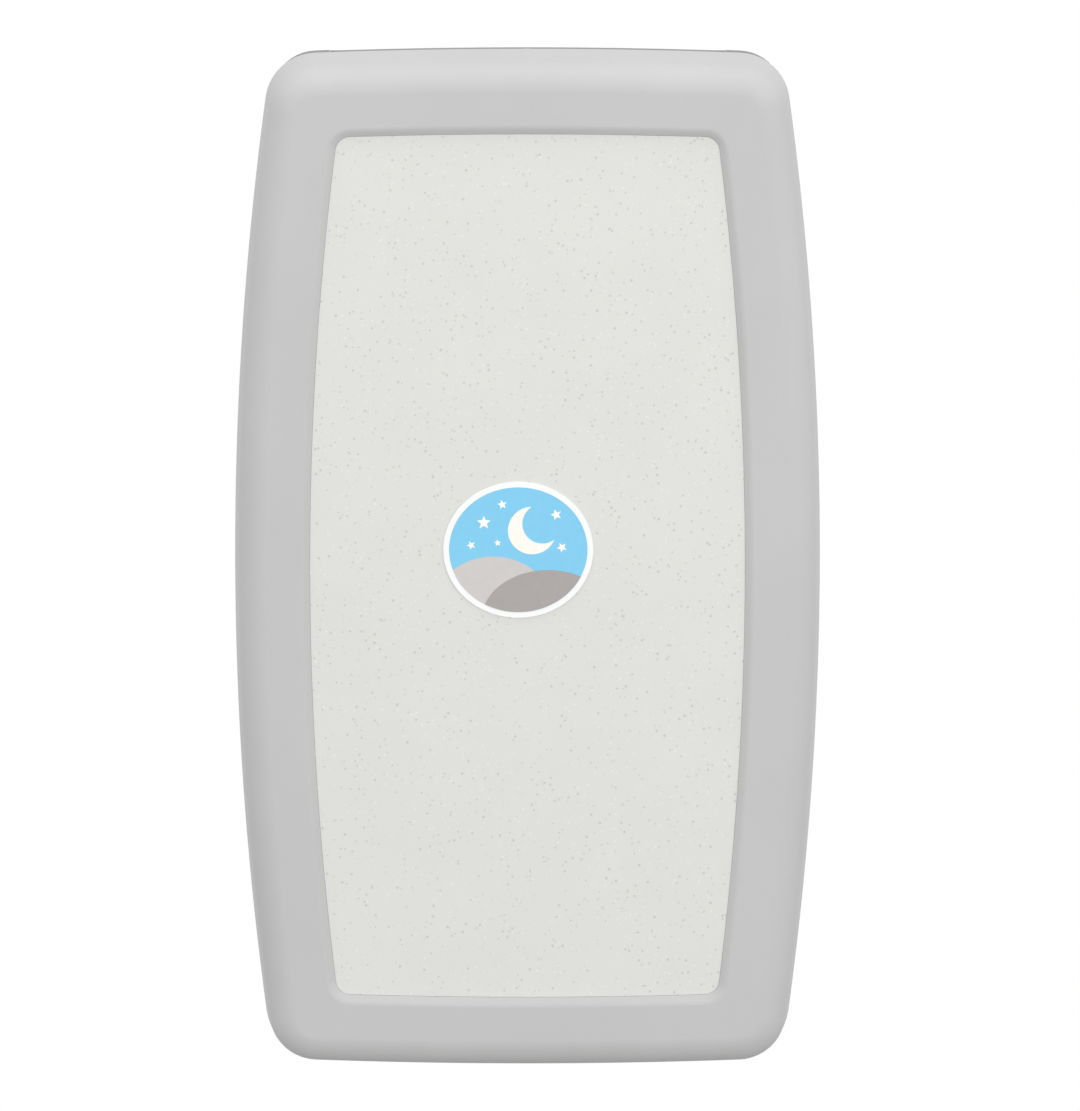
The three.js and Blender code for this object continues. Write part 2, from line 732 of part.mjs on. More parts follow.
piece('strut_rod', cut(join([
  rodBetween(strutRodRadius, strutAt(cylinderEnd - strutInsertion), strutAt(strutLength - strutEyeRadius + 1)),
  rodX(strutEyeRadius, strutX - eyeHalf, strutX + eyeHalf, ...strutFootSpot),
]), [pinHole(...strutFootSpot)]), steel);

const pinInner = -(armInner - 2 * fit);
const pinOuter = strutX - eyeHalf - fit;
piece('strut_lower_pin', join([
  rodX(strutPinRadius, pinOuter - clipThickness, pinInner + clipThickness, ...strutFootSpot),
  rodX(strutPinRadius + slotPlay, pinInner, pinInner + clipThickness, ...strutFootSpot),
  rodX(strutPinRadius + slotPlay, pinOuter - clipThickness, pinOuter, ...strutFootSpot),
]), steel);

const bracketX = strutX - eyeHalf - fit;
const bracketHalf = topEyeRadius + 2;
piece('strut_bracket', cut(join([
  block(bracketX - bracketThickness, bracketX, flangeBack + fit, strutTopSpot[0], strutTop.z - bracketHalf,
    strutTop.z + bracketHalf),
  rodX(bracketHalf, bracketX - bracketThickness, bracketX, ...strutTopSpot),
  block(bracketX - bracketFoot, bracketX, flangeBack + fit, flangeBack + fit + steelWall,
    strutTop.z - bracketHalf, strutTop.z + bracketHalf),
]), [pinHole(...strutTopSpot)]), steel);
piece('strut_upper_pin', rodX(strutPinRadius, bracketX - bracketThickness - 1, strutX + eyeHalf + 1,
  ...strutTopSpot), steel);

// Back shell: open towards the wall, stepped back below the hinge so that the bed's foot can swing in
function backSkin(wall, startU) {
  const sections = [backSection(wall, startU)];
  const edge = backEdge - wall;
  if (edge <= 0) {
    sections.push(backSection(wall, backDepth - wall));
    return loft(sections);
  }
  for (let i = 0; i <= 3; i += 1) {
    const angle = Math.PI / 2 * i / 3;
    const inset = wall + edge * (1 - Math.cos(angle));
    sections.push(backSection(inset, backDepth - backEdge + edge * Math.sin(angle)));
  }
  return loft(sections);
}

function backSection(inset, u) {
  return bedSection(backStep + inset, u);
}

function headSeat(x, u0, u1, z) {
  return rodU(screwHeadRadius + fit, x, u0, u1, z, smallSteps);
}

// A band that follows the bow of the back's top, between two depths below its outer face
function topBand(half, high, low, u0, u1) {
  const points = [];
  for (let i = 0; i <= smallSteps; i += 1) {
    const x = half * (2 * i / smallSteps - 1);
    points.push(new THREE.Vector2(x, endZ(x) - backStep - low));
  }
  for (let i = smallSteps; i >= 0; i -= 1) {
    const x = half * (2 * i / smallSteps - 1);
    points.push(new THREE.Vector2(x, endZ(x) - backStep - high));
  }
  return plateU(new THREE.Shape(points), u0, u1);
}

const lugFoot = endZ(lidHalf) - backStep - lidSeat - shellWall;
const windowFoot = lugFoot - windowSpare;
const footStep = block(-width, width, stepFront, depth, -height, ledgeZ);
const footStepInner = block(-width, width, stepFront - shellWall, depth, -height, ledgeZ + shellWall);
const backBody = cut(backSkin(0, 0), [footStep, cut(backSkin(shellWall, -1), [footStepInner])]);
const lugTop = endZ(lugFar) - backStep;
const lugs = [[-lugFar, -lugNear], [lugNear, lugFar]].map(([x0, x1]) => block(x0, x1,
  lidAxisU - lidBarrelRadius, lidAxisU + lidBarrelRadius, lugFoot, lugTop));
const sill = topBand(lidHalf + fit + shellWall, shellWall / 2, lidSeat + shellWall, 0, backDepth - shellWall / 2);
const backCuts = [
  topBand(lidHalf + fit, -backStep, lidSeat, -1, lidFront + fit),
  block(lidLap - lidHalf, lidHalf - lidLap, windowRear - 1, windowFront, windowFoot, halfHeight),
  block(-lidHalf - fit, lidHalf + fit, -1, windowRear, windowFoot, halfHeight),
  rodX(lidPinRadius + fit, -lugFar - fit, lugFar + fit, lidAxisU, lidAxisZ, smallSteps),
  block(-barrelHalf - fit, barrelHalf + fit, backDepth - leafThickness - fit, backDepth + 1,
    ledgeZ - 1, hingeZ + leafHeight + fit),
];
for (const x of leafScrewXs) {
  backCuts.push(screwHole(x, backFaceInner - 1, backDepth + 1, leafScrewZ));
}
const binMiddles = [-binSpread / 2, binSpread / 2];
const linerSlot = (x) => block(x - linerSlotLength / 2, x + linerSlotLength / 2, backFaceInner - 2 * binWall - fit,
  backDepth + 1, binBottom + linerSlotRise, binBottom + linerSlotRise + linerSlotHeight);
backCuts.push(...binMiddles.map(linerSlot));
for (const side of [-1, 1]) {
  const near = side * (armOuter - armFootWidth - fit);
  const far = side * (armOuter + fit);
  backCuts.push(block(Math.min(near, far), Math.max(near, far), backDepth - armFootThickness - fit, backDepth + 1,
    ledgeZ - 1, hingeZ + armFootHeight + fit));
  for (const x of armScrewXs) {
    backCuts.push(screwHole(side * x, backFaceInner - 1, backDepth + 1, armScrewZ));
  }
}
piece('back_shell', cut(join([backBody, sill, ...lugs]), backCuts), backPlastic);

// Wall frame: two slotted rails at stud spacing and three bars across
function rail(side) {
  const x = side * railX;
  const half = railWidth / 2;
  const slots = [-1, 0, 1].map((row) => wallSlot(x, row * wallSlotRow));
  return cut(block(x - half, x + half, 0, railDepth, railBottom, railTop), [
    block(x - half + steelWall, x + half - steelWall, steelWall, railDepth + 1, railBottom - 1, railTop + 1),
    ...slots,
  ]);
}

piece('wall_rail_left', rail(-1), steel);
piece('wall_rail_right', rail(1), steel);

const barEnd = railX - railWidth / 2 - fit;
piece('top_bar', block(-barEnd, barEnd, 0, topBarThickness, topBarZ - narrowBarHeight / 2,
  topBarZ + narrowBarHeight / 2), steel);
piece('middle_bar', cut(block(-barEnd, barEnd, 0, railDepth, -barHeight / 2, barHeight / 2), [
  block(-barEnd - 1, barEnd + 1, steelWall, railDepth + 1, steelWall - barHeight / 2, barHeight / 2 - steelWall),
]), steel);

const bottomBarEnd = railX + railWidth / 2;
const bottomBarFront = backFaceInner - fit;
const bottomBarHoles = leafScrewXs.map((x) => screwHole(x, railDepth, backDepth, leafScrewZ));
for (const x of [...armScrewXs, ...armScrewXs.map((place) => -place)]) {
  bottomBarHoles.push(screwHole(x, railDepth, backDepth, armScrewZ));
}
piece('bottom_bar', cut(block(-bottomBarEnd, bottomBarEnd, frontBarU, bottomBarFront, bottomBarLow, bottomBarHigh), [
  block(-bottomBarEnd - 1, bottomBarEnd + 1, frontBarU - 1, bottomBarFront - steelWall,
    bottomBarLow + steelWall, bottomBarHigh - steelWall),
  ...bottomBarHoles,
]), steel);

// Liner bins: open at the top, with a slot at the foot of the front wall
binMiddles.forEach((x, i) => {
  const half = binWidth / 2;
  const front = backFaceInner - fit;
  const rear = front - binDepth;
  const bin = cut(block(x - half, x + half, rear, front, binBottom, binBottom + binHeight), [
    block(x - half + binWall, x + half - binWall, rear + binWall, front - binWall, binBottom + binWall,
      binBottom + binHeight + 1),
    linerSlot(x),
  ]);
  piece(`liner_bin_${['left', 'right'][i]}`, bin, greyPlastic);
});

// Lid let into the top over the loading window, with a barrel on two pins at the wall side
const pinStart = lugFar - lidPinLength;
piece('liner_lid', cut(join([
  topBand(lidHalf, 0, lidThickness, lidAxisU - lidBarrelRadius, lidFront),
  rodX(lidBarrelRadius, -lidHalf, lidHalf, lidAxisU, lidAxisZ, smallSteps),
]), [
  rodX(lidPinRadius + fit, pinStart - fit, lidHalf + 1, lidAxisU, lidAxisZ, smallSteps),
  rodX(lidPinRadius + fit, -lidHalf - 1, fit - pinStart, lidAxisU, lidAxisZ, smallSteps),
  rodZ(lockRadius + fit, 0, lockU, windowFoot, halfHeight),
]), backPlastic);
piece('lid_pin_left', rodX(lidPinRadius, -pinStart - lidPinLength, -pinStart, lidAxisU, lidAxisZ, smallSteps), steel);
piece('lid_pin_right', rodX(lidPinRadius, pinStart, pinStart + lidPinLength, lidAxisU, lidAxisZ, smallSteps), steel);

const lockTop = halfHeight - backStep + fit;
const lockFoot = lockTop - lidSeat - lockDrop;
const keyway = block(-lockRadius / 2, lockRadius / 2, lockU - 0.6, lockU + 0.6, lockTop + lockHeadHeight / 2, lockTop + 9);
piece('lid_lock', cut(join([
  rodZ(lockRadius, 0, lockU, lockFoot, lockTop + lockHeadHeight / 2),
  rodZ(lockHeadRadius, 0, lockU, lockTop, lockTop + lockHeadHeight),
  block(-camLength, lockRadius, lockU - lockRadius * 0.7, lockU + lockRadius * 0.7, lockFoot - camThickness, lockFoot),
]), [keyway]), steel);

// Bag hooks on the back shell's face, inside the closed bed's hollow
for (const [side, word] of [[-1, 'left'], [1, 'right']]) {
  const x = side * hookX;
  const seat = backDepth + fit;
  const plate = hookThickness * 0.7;
  const path = [
    [seat + plate / 2, hookZ - hookPlateHeight / 8],
    [seat + hookReach * 0.3, hookZ - hookPlateHeight * 0.26],
    [seat + hookReach * 0.6, hookZ - hookPlateHeight * 0.3],
    [seat + hookReach * 0.85, hookZ - hookPlateHeight * 0.2],
    [seat + hookReach, hookZ],
  ];
  piece(`bag_hook_${word}`, join([
    block(x - hookPlateWidth / 2, x + hookPlateWidth / 2, seat, seat + plate, hookZ - hookPlateHeight / 2,
      hookZ + hookPlateHeight / 2),
    plateX(strip(path, hookThickness), x - hookWidth / 2, x + hookWidth / 2),
  ]), darkPlastic);
}

// Rubber bumpers between back and bed, and stop pads that the open bed's foot comes to rest on
for (const [side, word] of [[-1, 'left'], [1, 'right']]) {
  for (const [row, level] of [[-1, 'lower'], [1, 'upper']]) {
    const z = row * bumperRow;
    const x = side * (sideX(z) - bumperInset);
    piece(`bumper_${level}_${word}`, rodU(bumperRadius, x, backDepth + fit, bedRear - fit, z, smallSteps), rubber);
  }
  const x = side * stopPadX;
  piece(`stop_pad_${word}`, block(x - stopPadWidth / 2, x + stopPadWidth / 2, stepFront + fit, stopPadFront,
    hingeZ - stopPadHeight - 4, hingeZ - 4), rubber);
}

// Safety strap: two lengths of webbing that loop round bars behind the tray's slots and meet at a cam buckle
const loopMiddle = anchorRadius + fit + strapThickness / 2;
const loopOuter = anchorRadius + fit + strapThickness;
const floorU = trayFloor - strapLift;
const strapLow = strapZ - strapWidth / 2;
const strapHigh = strapZ + strapWidth / 2;

function outerWallX(u) {
  const steps = [0.12, 0.25, 0.5, 0.75, 1];
  const places = steps.map((step) => slopePoint(step, strapZ, trayWall));
  const k = Math.max(places.findIndex((place) => place[1] > u), 1);
  const [x0, u0] = places[k - 1];
  const [x1, u1] = places[k];
  return x0 + (x1 - x0) * (u - u0) / (u1 - u0);
}

const anchorX = outerWallX(slotU) + loopOuter + fit;
const anchorU = slotU + loopMiddle;

function strapFromSlot() {
  const path = [[anchorX, slotU], [slotPoint[0] - strapLift, slotU]];
  const steps = [0.75, 1].filter((step) => step > strapSlotStep + 0.1);
  for (const step of steps) {
    const [x, u] = slopePoint(step, strapZ, 0);
    path.push([x - strapLift, u - strapLift]);
  }
  return path;
}

function loopRound(x, u, radius) {
  return {
    ring: rodZ(radius + fit + strapThickness, x, u, strapLow, strapHigh, roundSteps),
    hole: rodZ(radius + fit, x, u, strapLow - 1, strapHigh + 1, roundSteps),
  };
}

const strapBarAt = buckleX + strapBarX;
const strapBarU = floorU - strapBarRadius - fit - strapThickness / 2;
const shortPath = [...strapFromSlot(), [strapBarAt, floorU]];
const shortAnchor = loopRound(anchorX, anchorU, anchorRadius);
const shortEnd = loopRound(strapBarAt, strapBarU, strapBarRadius);
piece('strap_short', cut(join([
  plateZ(strip(shortPath, strapThickness), strapLow, strapHigh),
  shortAnchor.ring,
  shortEnd.ring,
]), [shortAnchor.hole, shortEnd.hole]), webbing);

const baseTop = trayFloor - fit - buckleBase;
const channelU = baseTop - fit - strapThickness / 2;
const tailHigh = strapBarU - strapBarRadius - fit - strapThickness - fit - strapThickness / 2;
const tailLow = floorU - strapThickness - 2 * fit;
const camX = buckleX - 2;
const camU = channelU - strapThickness / 2 - fit - camRadius;
const longPath = [
  ...strapFromSlot().map(([x, u]) => [-x, u]),
  [buckleX - buckleHalf - 10, floorU],
  [buckleX - buckleHalf - 1, channelU],
  [camX + camRadius + 3, channelU],
  [strapBarAt - strapBarRadius - strapThickness - 2, tailHigh],
  [strapBarAt + strapBarRadius + strapThickness, tailHigh],
  [strapBarAt + strapBarRadius + 12, tailLow],
  [slopePoint(1, strapZ, 0)[0] - tailGap, tailLow],
];
const longAnchor = loopRound(-anchorX, anchorU, anchorRadius);
piece('strap_long', cut(join([
  plateZ(strip(longPath, strapThickness), strapLow, strapHigh),
  longAnchor.ring,
]), [longAnchor.hole]), webbing);

for (const [side, word] of [[-1, 'left'], [1, 'right']]) {
  piece(`strap_anchor_${word}`, rodZ(anchorRadius, side * anchorX, anchorU, strapLow - anchorSpare,
    strapHigh + anchorSpare, smallSteps), steel);
}

// Cam buckle: base and two cheeks, a fixed bar for the short strap, and a lever on a pin
const cheekNear = strapWidth / 2 + 2;
const cheekFar = cheekNear + cheekThickness;
const cheekTop = baseTop - cheekHeight;
const cheek = new THREE.Shape([
  [buckleX - buckleHalf / 2, baseTop + buckleBase],
  [buckleX - buckleHalf / 2, (baseTop + camU) / 2],
  [camX - camRadius, cheekTop],
  [camX + camRadius, cheekTop],
  [strapBarAt + strapBarRadius * 2, strapBarU - strapBarRadius * 2],
  [strapBarAt + strapBarRadius * 2, strapBarU + strapBarRadius],
  [buckleX + buckleHalf / 2, baseTop + buckleBase],
].map(([x, u]) => new THREE.Vector2(x, u)));
const bucklePinHole = rodZ(bucklePinRadius + fit, camX, camU, strapZ - cheekFar - 1, strapZ + cheekFar + 1, smallSteps);
piece('buckle_frame', cut(join([
  block(buckleX - buckleHalf, buckleX + buckleHalf / 2, baseTop, baseTop + buckleBase, strapZ - cheekFar, strapZ + cheekFar),
  plateZ(cheek, strapZ - cheekFar, strapZ - cheekNear),
  plateZ(cheek, strapZ + cheekNear, strapZ + cheekFar),
  rodZ(strapBarRadius, strapBarAt, strapBarU, strapZ - cheekFar, strapZ + cheekFar, smallSteps),
]), [bucklePinHole]), darkPlastic);
piece('buckle_pin', rodZ(bucklePinRadius, camX, camU, strapZ - cheekFar, strapZ + cheekFar, smallSteps), steel);

const leverHalf = cheekNear - 2 * fit;
const leverPath = [
  [camX + camRadius / 2, camU - camRadius + leverThickness / 2],
  [camX - camRadius * 2, camU - camRadius + leverThickness / 2],
  [camX - leverLength, camU - camRadius / 2],
];
piece('buckle_lever', cut(join([
  rodZ(camRadius, camX, camU, strapZ - leverHalf, strapZ + leverHalf),
  plateZ(strip(leverPath, leverThickness), strapZ - leverHalf, strapZ + leverHalf),
]), [bucklePinHole]), darkPlastic);

export default station;
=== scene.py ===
# Fold-down baby changing station for a washroom wall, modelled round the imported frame
# Metres, +Z up, wall at y = 0, front towards -Y; u is the distance out from the wall, so y = -u
import json
import math

import bmesh
import bpy
from mathutils import Matrix, Vector


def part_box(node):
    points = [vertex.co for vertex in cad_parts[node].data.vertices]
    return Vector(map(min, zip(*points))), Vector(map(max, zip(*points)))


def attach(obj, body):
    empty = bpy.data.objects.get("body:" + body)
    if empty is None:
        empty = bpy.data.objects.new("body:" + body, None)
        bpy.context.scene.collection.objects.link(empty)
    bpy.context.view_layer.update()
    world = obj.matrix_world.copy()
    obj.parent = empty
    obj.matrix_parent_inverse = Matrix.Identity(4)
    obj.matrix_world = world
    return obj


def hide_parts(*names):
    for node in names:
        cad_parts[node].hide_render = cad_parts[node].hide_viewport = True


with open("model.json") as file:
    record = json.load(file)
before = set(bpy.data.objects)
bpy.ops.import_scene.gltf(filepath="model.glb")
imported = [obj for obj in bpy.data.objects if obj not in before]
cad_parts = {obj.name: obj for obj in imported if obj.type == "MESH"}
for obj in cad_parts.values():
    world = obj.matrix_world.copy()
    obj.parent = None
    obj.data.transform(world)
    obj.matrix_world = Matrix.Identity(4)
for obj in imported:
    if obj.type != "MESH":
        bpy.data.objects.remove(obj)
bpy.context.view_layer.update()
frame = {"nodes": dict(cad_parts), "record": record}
nodes = frame["nodes"]
record = frame["record"]
bodyOf = {node: body for body, members in record["behaviour"]["bodies"].items() for node in members}
jointOf = {joint["name"]: joint for joint in record["behaviour"]["joints"]}
slotOf = {part["node"]: part["material_slot"] for part in record["subparts"]}
hands = ("left", "right")
clearance = 0.0003  # between pieces that fit into each other
over = 0.001  # a cutting tool stands this far past a face
finishes = {}  # material slot to finish
standing = set()  # CAD nodes that a new piece stands for
print("frame loaded:", len(nodes), "nodes")


# Shared tools: selecting, primitives in place, edit-mode steps, modifiers, and taking a piece into the frame
def activate(piece):
    bpy.ops.object.select_all(action="DESELECT")
    piece.select_set(True)
    bpy.context.view_layer.objects.active = piece


def place(x, u, z):
    return Vector((x, -u, z))


def middleOf(node):
    # the middle of a node's box, as (x, u, z)
    low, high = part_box(node)
    return (low.x + high.x) / 2, -(low.y + high.y) / 2, (low.z + high.z) / 2


def linked(name, data):
    item = bpy.data.objects.new(name, data)
    bpy.context.scene.collection.objects.link(item)
    return item


def fresh(name, add, stretch=(1, 1, 1), **settings):
    # a primitive at its size and place, added with nothing else selected
    bpy.ops.object.select_all(action="DESELECT")
    add(**settings)
    piece = bpy.context.object
    piece.scale = stretch
    bpy.ops.object.transform_apply(location=True, rotation=True, scale=True)
    piece.name = piece.data.name = name
    return piece


def block(x, u, z, name="block"):
    middle = place(*((low + high) / 2 for low, high in (x, u, z)))
    size = [high - low for low, high in (x, u, z)]
    return fresh(name, bpy.ops.mesh.primitive_cube_add, size, size=1, location=middle)


def rod(radius, start, end, sides=48):
    first = place(*start)
    run = place(*end) - first
    return fresh("rod", bpy.ops.mesh.primitive_cylinder_add, vertices=sides, radius=radius, depth=run.length,
                 location=first + run / 2, rotation=run.to_track_quat("Z", "Y").to_euler())


def applied(piece, kind, **settings):
    activate(piece)
    modifier = piece.modifiers.new(kind.title(), kind)
    for key, value in settings.items():
        setattr(modifier, key, value)
    bpy.ops.object.modifier_apply(modifier=modifier.name)
    return piece


def carved(piece, tools, way="DIFFERENCE"):
    for tool in tools:
        applied(piece, "BOOLEAN", operation=way, solver="EXACT", object=tool)
        bpy.data.objects.remove(tool)
    return piece


def edited(piece, *steps):
    # edit-mode steps on the whole piece, each an operator and its settings
    activate(piece)
    bpy.ops.object.mode_set(mode="EDIT")
    bpy.ops.mesh.select_all(action="SELECT")
    for step, settings in steps:
        step(**settings)
    bpy.ops.object.mode_set(mode="OBJECT")
    return piece


def picked(piece, kind, test):
    # edit mode, with only the faces or edges selected that pass the test
    activate(piece)
    bpy.ops.object.mode_set(mode="EDIT")
    bpy.ops.mesh.select_mode(type=kind)
    bpy.ops.mesh.select_all(action="DESELECT")
    mesh = bmesh.from_edit_mesh(piece.data)
    for item in mesh.faces if kind == "FACE" else mesh.edges:
        item.select_set(test(item))
    bmesh.update_edit_mesh(piece.data)


def deleteFaces(piece, test):
    picked(piece, "FACE", lambda face: test(face.calc_center_median()))
    bpy.ops.mesh.delete(type="FACE")
    bpy.ops.object.mode_set(mode="OBJECT")


def drawnOut(piece, way):
    return edited(piece, (bpy.ops.mesh.extrude_region_move, {"TRANSFORM_OT_translate": {"value": way}}))


def normalsOut(piece):
    return edited(piece, (bpy.ops.mesh.remove_doubles, {"threshold": 0.00001}),
                  (bpy.ops.mesh.normals_make_consistent, {"inside": False}))


def cleaned(piece, angle=1.0):
    # near points merge and flat neighbours become one face, so an edge can be rounded along its whole run
    return edited(piece, (bpy.ops.mesh.remove_doubles, {"threshold": 0.000005}),
                  (bpy.ops.mesh.dissolve_limited, {"angle_limit": math.radians(angle)}))


def turnTowards(piece, direction):
    # an open skin shows its outer side that way
    total = sum((face.normal * face.area for face in piece.data.polygons), Vector())
    if total.dot(direction) < 0:
        edited(piece, (bpy.ops.mesh.flip_normals, {}))


def softEdges(piece, width, angle=35, segments=3):
    return applied(piece, "BEVEL", width=width, segments=segments, limit_method="ANGLE",
                   angle_limit=math.radians(angle), miter_outer="MITER_ARC", use_clamp_overlap=True)


def shadeByAngle(piece, angle=35):
    activate(piece)
    bpy.ops.object.shade_smooth_by_angle(angle=math.radians(angle))


def painted(piece, finish):
    piece.data.materials.clear()
    piece.data.materials.append(finish)


def taken(piece, body, slot, finish=None, angle=35):
    # a piece joins the frame: no empty faces, smooth shading that keeps flat faces flat, its finish, its body
    edited(piece, (bpy.ops.mesh.dissolve_degenerate, {"threshold": 0.000001}))
    shadeByAngle(piece, angle)
    applied(piece, "WEIGHTED_NORMAL", keep_sharp=True)
    painted(piece, finish or finishes[slot])
    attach(piece, body)
    return piece


def standIn(piece, *replaced, angle=35):
    # a piece that stands for CAD nodes of one body
    taken(piece, bodyOf[replaced[0]], slotOf[replaced[0]], angle=angle)
    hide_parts(*replaced)
    standing.update(replaced)
    return piece


def softCopy(node, edge, tools=(), angle=40):
    # a flat-sided CAD piece, cut further where tools are given, with its edges broken
    piece = linked(node + "_formed", nodes[node].data.copy())
    activate(piece)
    bpy.ops.mesh.customdata_custom_splitnormals_clear()
    carved(cleaned(piece), tools)
    softEdges(cleaned(piece), edge, angle, 2)
    return standIn(piece, node, angle=angle)


# Finishes: each is built on Object coordinates, so a pattern stays on its piece
def tone(*levels):
    # a colour in levels of 255, made linear
    shares = [level / 255 for level in levels]
    return tuple(s / 12.92 if s <= 0.04045 else ((s + 0.055) / 1.055) ** 2.4 for s in shares) + (1,)


def shaded(color, factor):
    return tuple(part * factor for part in color[:3]) + (1,)


def feed(material, item, values):
    # each named socket of a node takes an output or a plain value
    for key, value in values.items():
        if isinstance(value, bpy.types.NodeSocket):
            material.node_tree.links.new(value, item.inputs[key])
        else:
            item.inputs[key].default_value = value
    return item


def addNode(material, kind, values=(), **settings):
    item = material.node_tree.nodes.new("ShaderNode" + kind)
    for key, value in settings.items():
        setattr(item, key, value)
    return feed(material, item, dict(values))


def newFinish(name, roughness, metallic=0):
    material = bpy.data.materials.new(name)
    material.use_nodes = True
    shader = material.node_tree.nodes["Principled BSDF"]
    feed(material, shader, {"Roughness": roughness, "Metallic": metallic})
    return material, shader, addNode(material, "TexCoord").outputs["Object"]


def ramp(material, factor, *stops):
    item = addNode(material, "ValToRGB", {"Fac": factor})
    for step, (position, color) in zip(item.color_ramp.elements, stops):
        step.position, step.color = position, color
    return item.outputs["Color"]


def noise(material, spot, scale, detail=2.0, roughness=0.5):
    return addNode(material, "TexNoise", {"Vector": spot, "Scale": scale, "Detail": detail,
                                          "Roughness": roughness}).outputs["Fac"]


def mixed(material, factor, a, b):
    # inputs 6 and 7 and output 2 are the colours
    return addNode(material, "Mix", {0: factor, 6: a, 7: b}, data_type="RGBA").outputs[2]


def maths(material, way, a, b=0.5):
    return addNode(material, "Math", {0: a, 1: b}, operation=way).outputs["Value"]


def ranged(material, value, start, end, low=0.0, high=1.0, **settings):
    return addNode(material, "MapRange", {"Value": value, "From Min": start, "From Max": end, "To Min": low,
                                          "To Max": high}, **settings).outputs["Result"]


def spread(material, factor, low, high):
    # a noise's middle range drawn out from low to high
    return ranged(material, factor, 0.3, 0.7, low, high)


def bumped(material, shader, height, distance, strength):
    bump = addNode(material, "Bump", {"Height": height, "Distance": distance, "Strength": strength})
    feed(material, shader, {"Normal": bump.outputs["Normal"]})
    return material


# Looks of one colour: noises are (scale, detail, roughness), gloss is the range of the shader's roughness,
# relief is (depth, strength), and low and high are shares of the colour
plasticLook = dict(low=0.976, high=1.012, stops=(0.35, 0.65), cloud=(7, 4), grain=(1300, 3, 0.6),
                   gloss=(0.5, 0.6), relief=(0.00012, 0.25), sockets={"Specular IOR Level": 0.25})
charcoalLook = dict(low=0.85, high=1.15, stops=(0.35, 0.65), cloud=(40, 3), grain=(1800, 3, 0.6),
                    gloss=(0.4, 0.55), relief=(0.00012, 0.35), sockets={})
filmLook = dict(low=0.97, high=1.0, stops=(0.35, 0.65), cloud=(160, 3), grain=(60, 2), gloss=(0.32,),
                relief=(0.00005, 0.1), sockets={"Coat Weight": 0.3, "Coat Roughness": 0.15})
enamelLook = dict(stops=(0.3, 0.7), cloud=(420, 2), grain=(420, 2), gloss=(0.32, 0.44),
                  relief=(0.0001, 0.25), sockets={})
rubberLook = dict(stops=(0.35, 0.7), cloud=(240, 4, 0.7), grain=(240, 4, 0.7), gloss=(0.72, 0.9),
                  relief=(0.0001, 0.3), sockets={})


def clouded(name, low, high, look):
    # tone and gloss drift with one noise, and another gives the grain of the mould, the peel or the ink
    material, shader, spot = newFinish(name, look["gloss"][0])
    cloud = noise(material, spot, *look["cloud"])
    color = ramp(material, cloud, *zip(look["stops"], (low, high)))
    feed(material, shader, {"Base Color": color, **look["sockets"]})
    if len(look["gloss"]) == 2:
        feed(material, shader, {"Roughness": spread(material, cloud, *look["gloss"])})
    return bumped(material, shader, noise(material, spot, *look["grain"]), *look["relief"])


def tinted(name, color, look):
    return clouded(name, shaded(color, look["low"]), shaded(color, look["high"]), look)


panelLook = dict(base=tone(224, 225, 220), cloud=tone(221, 222, 217), dark=tone(194, 195, 190),
                 pale=tone(236, 237, 233), darkScale=250, paleScale=290, darkShare=0.55, paleShare=0.45,
                 darkSize=0.5, paleSize=0.46, gloss=(0.44, 0.54))


def speckledPanel(name):
    # pale sheet with fine grey and white flecks of many sizes
    material, shader, spot = newFinish(name, panelLook["gloss"][0])
    cloud = noise(material, spot, 11, 4)
    base = ramp(material, cloud, (0.35, panelLook["cloud"]), (0.65, panelLook["base"]))
    for word in ("pale", "dark"):
        color, scale, share, size = (panelLook[word + part] for part in ("", "Scale", "Share", "Size"))
        cells = addNode(material, "TexVoronoi", {"Vector": spot, "Scale": scale, "Randomness": 1.0}).outputs
        chosen = addNode(material, "TexWhiteNoise", {"Vector": cells["Color"]}).outputs["Value"]
        reach = ranged(material, chosen, 1 - share, 1.0, 0.0, size)
        near = ranged(material, cells["Distance"], reach, 0.0, interpolation_type="SMOOTHSTEP")
        real = maths(material, "GREATER_THAN", chosen, 1 - share)
        base = mixed(material, maths(material, "MULTIPLY", near, real), base, color)
    feed(material, shader, {"Base Color": base, "Roughness": spread(material, cloud, *panelLook["gloss"])})
    return bumped(material, shader, noise(material, spot, 900, 3), 0.00008, 0.2)


zincLook = dict(low=tone(160, 164, 168), high=tone(198, 201, 204), gloss=(0.28, 0.42), drawn=(1, 1, 0.12),
                scale=260, depth=0.00005)
chromeLook = dict(low=tone(205, 207, 210), high=tone(228, 229, 231), gloss=(0.08, 0.16), drawn=(1, 1, 0.05),
                  scale=500, depth=0.00002)


def metal(name, look):
    # plated or polished steel: tone and gloss vary along the way it was drawn, over a fine spangle
    material, shader, spot = newFinish(name, look["gloss"][0], 1)
    drawn = addNode(material, "Mapping", {"Vector": spot, "Scale": look["drawn"]}).outputs["Vector"]
    streak = noise(material, drawn, look["scale"], 4, 0.6)
    spangle = addNode(material, "TexVoronoi", {"Vector": spot, "Scale": 150}).outputs["Color"]
    plate = addNode(material, "SeparateColor", {"Color": spangle}).outputs["Red"]
    tint = mixed(material, 0.35, ramp(material, streak, (0.3, look["low"]), (0.7, look["high"])),
                 ramp(material, plate, (0.0, look["low"]), (1.0, look["high"])))
    feed(material, shader, {"Base Color": tint, "Roughness": spread(material, streak, *look["gloss"])})
    return bumped(material, shader, streak, look["depth"], 0.3)


webbingLook = dict(dark=tone(58, 61, 66), light=tone(96, 100, 107), yarnAlong=0.0026, yarnAcross=0.0019,
                   roughness=0.75, sheen=0.2, fuzz=0.25)


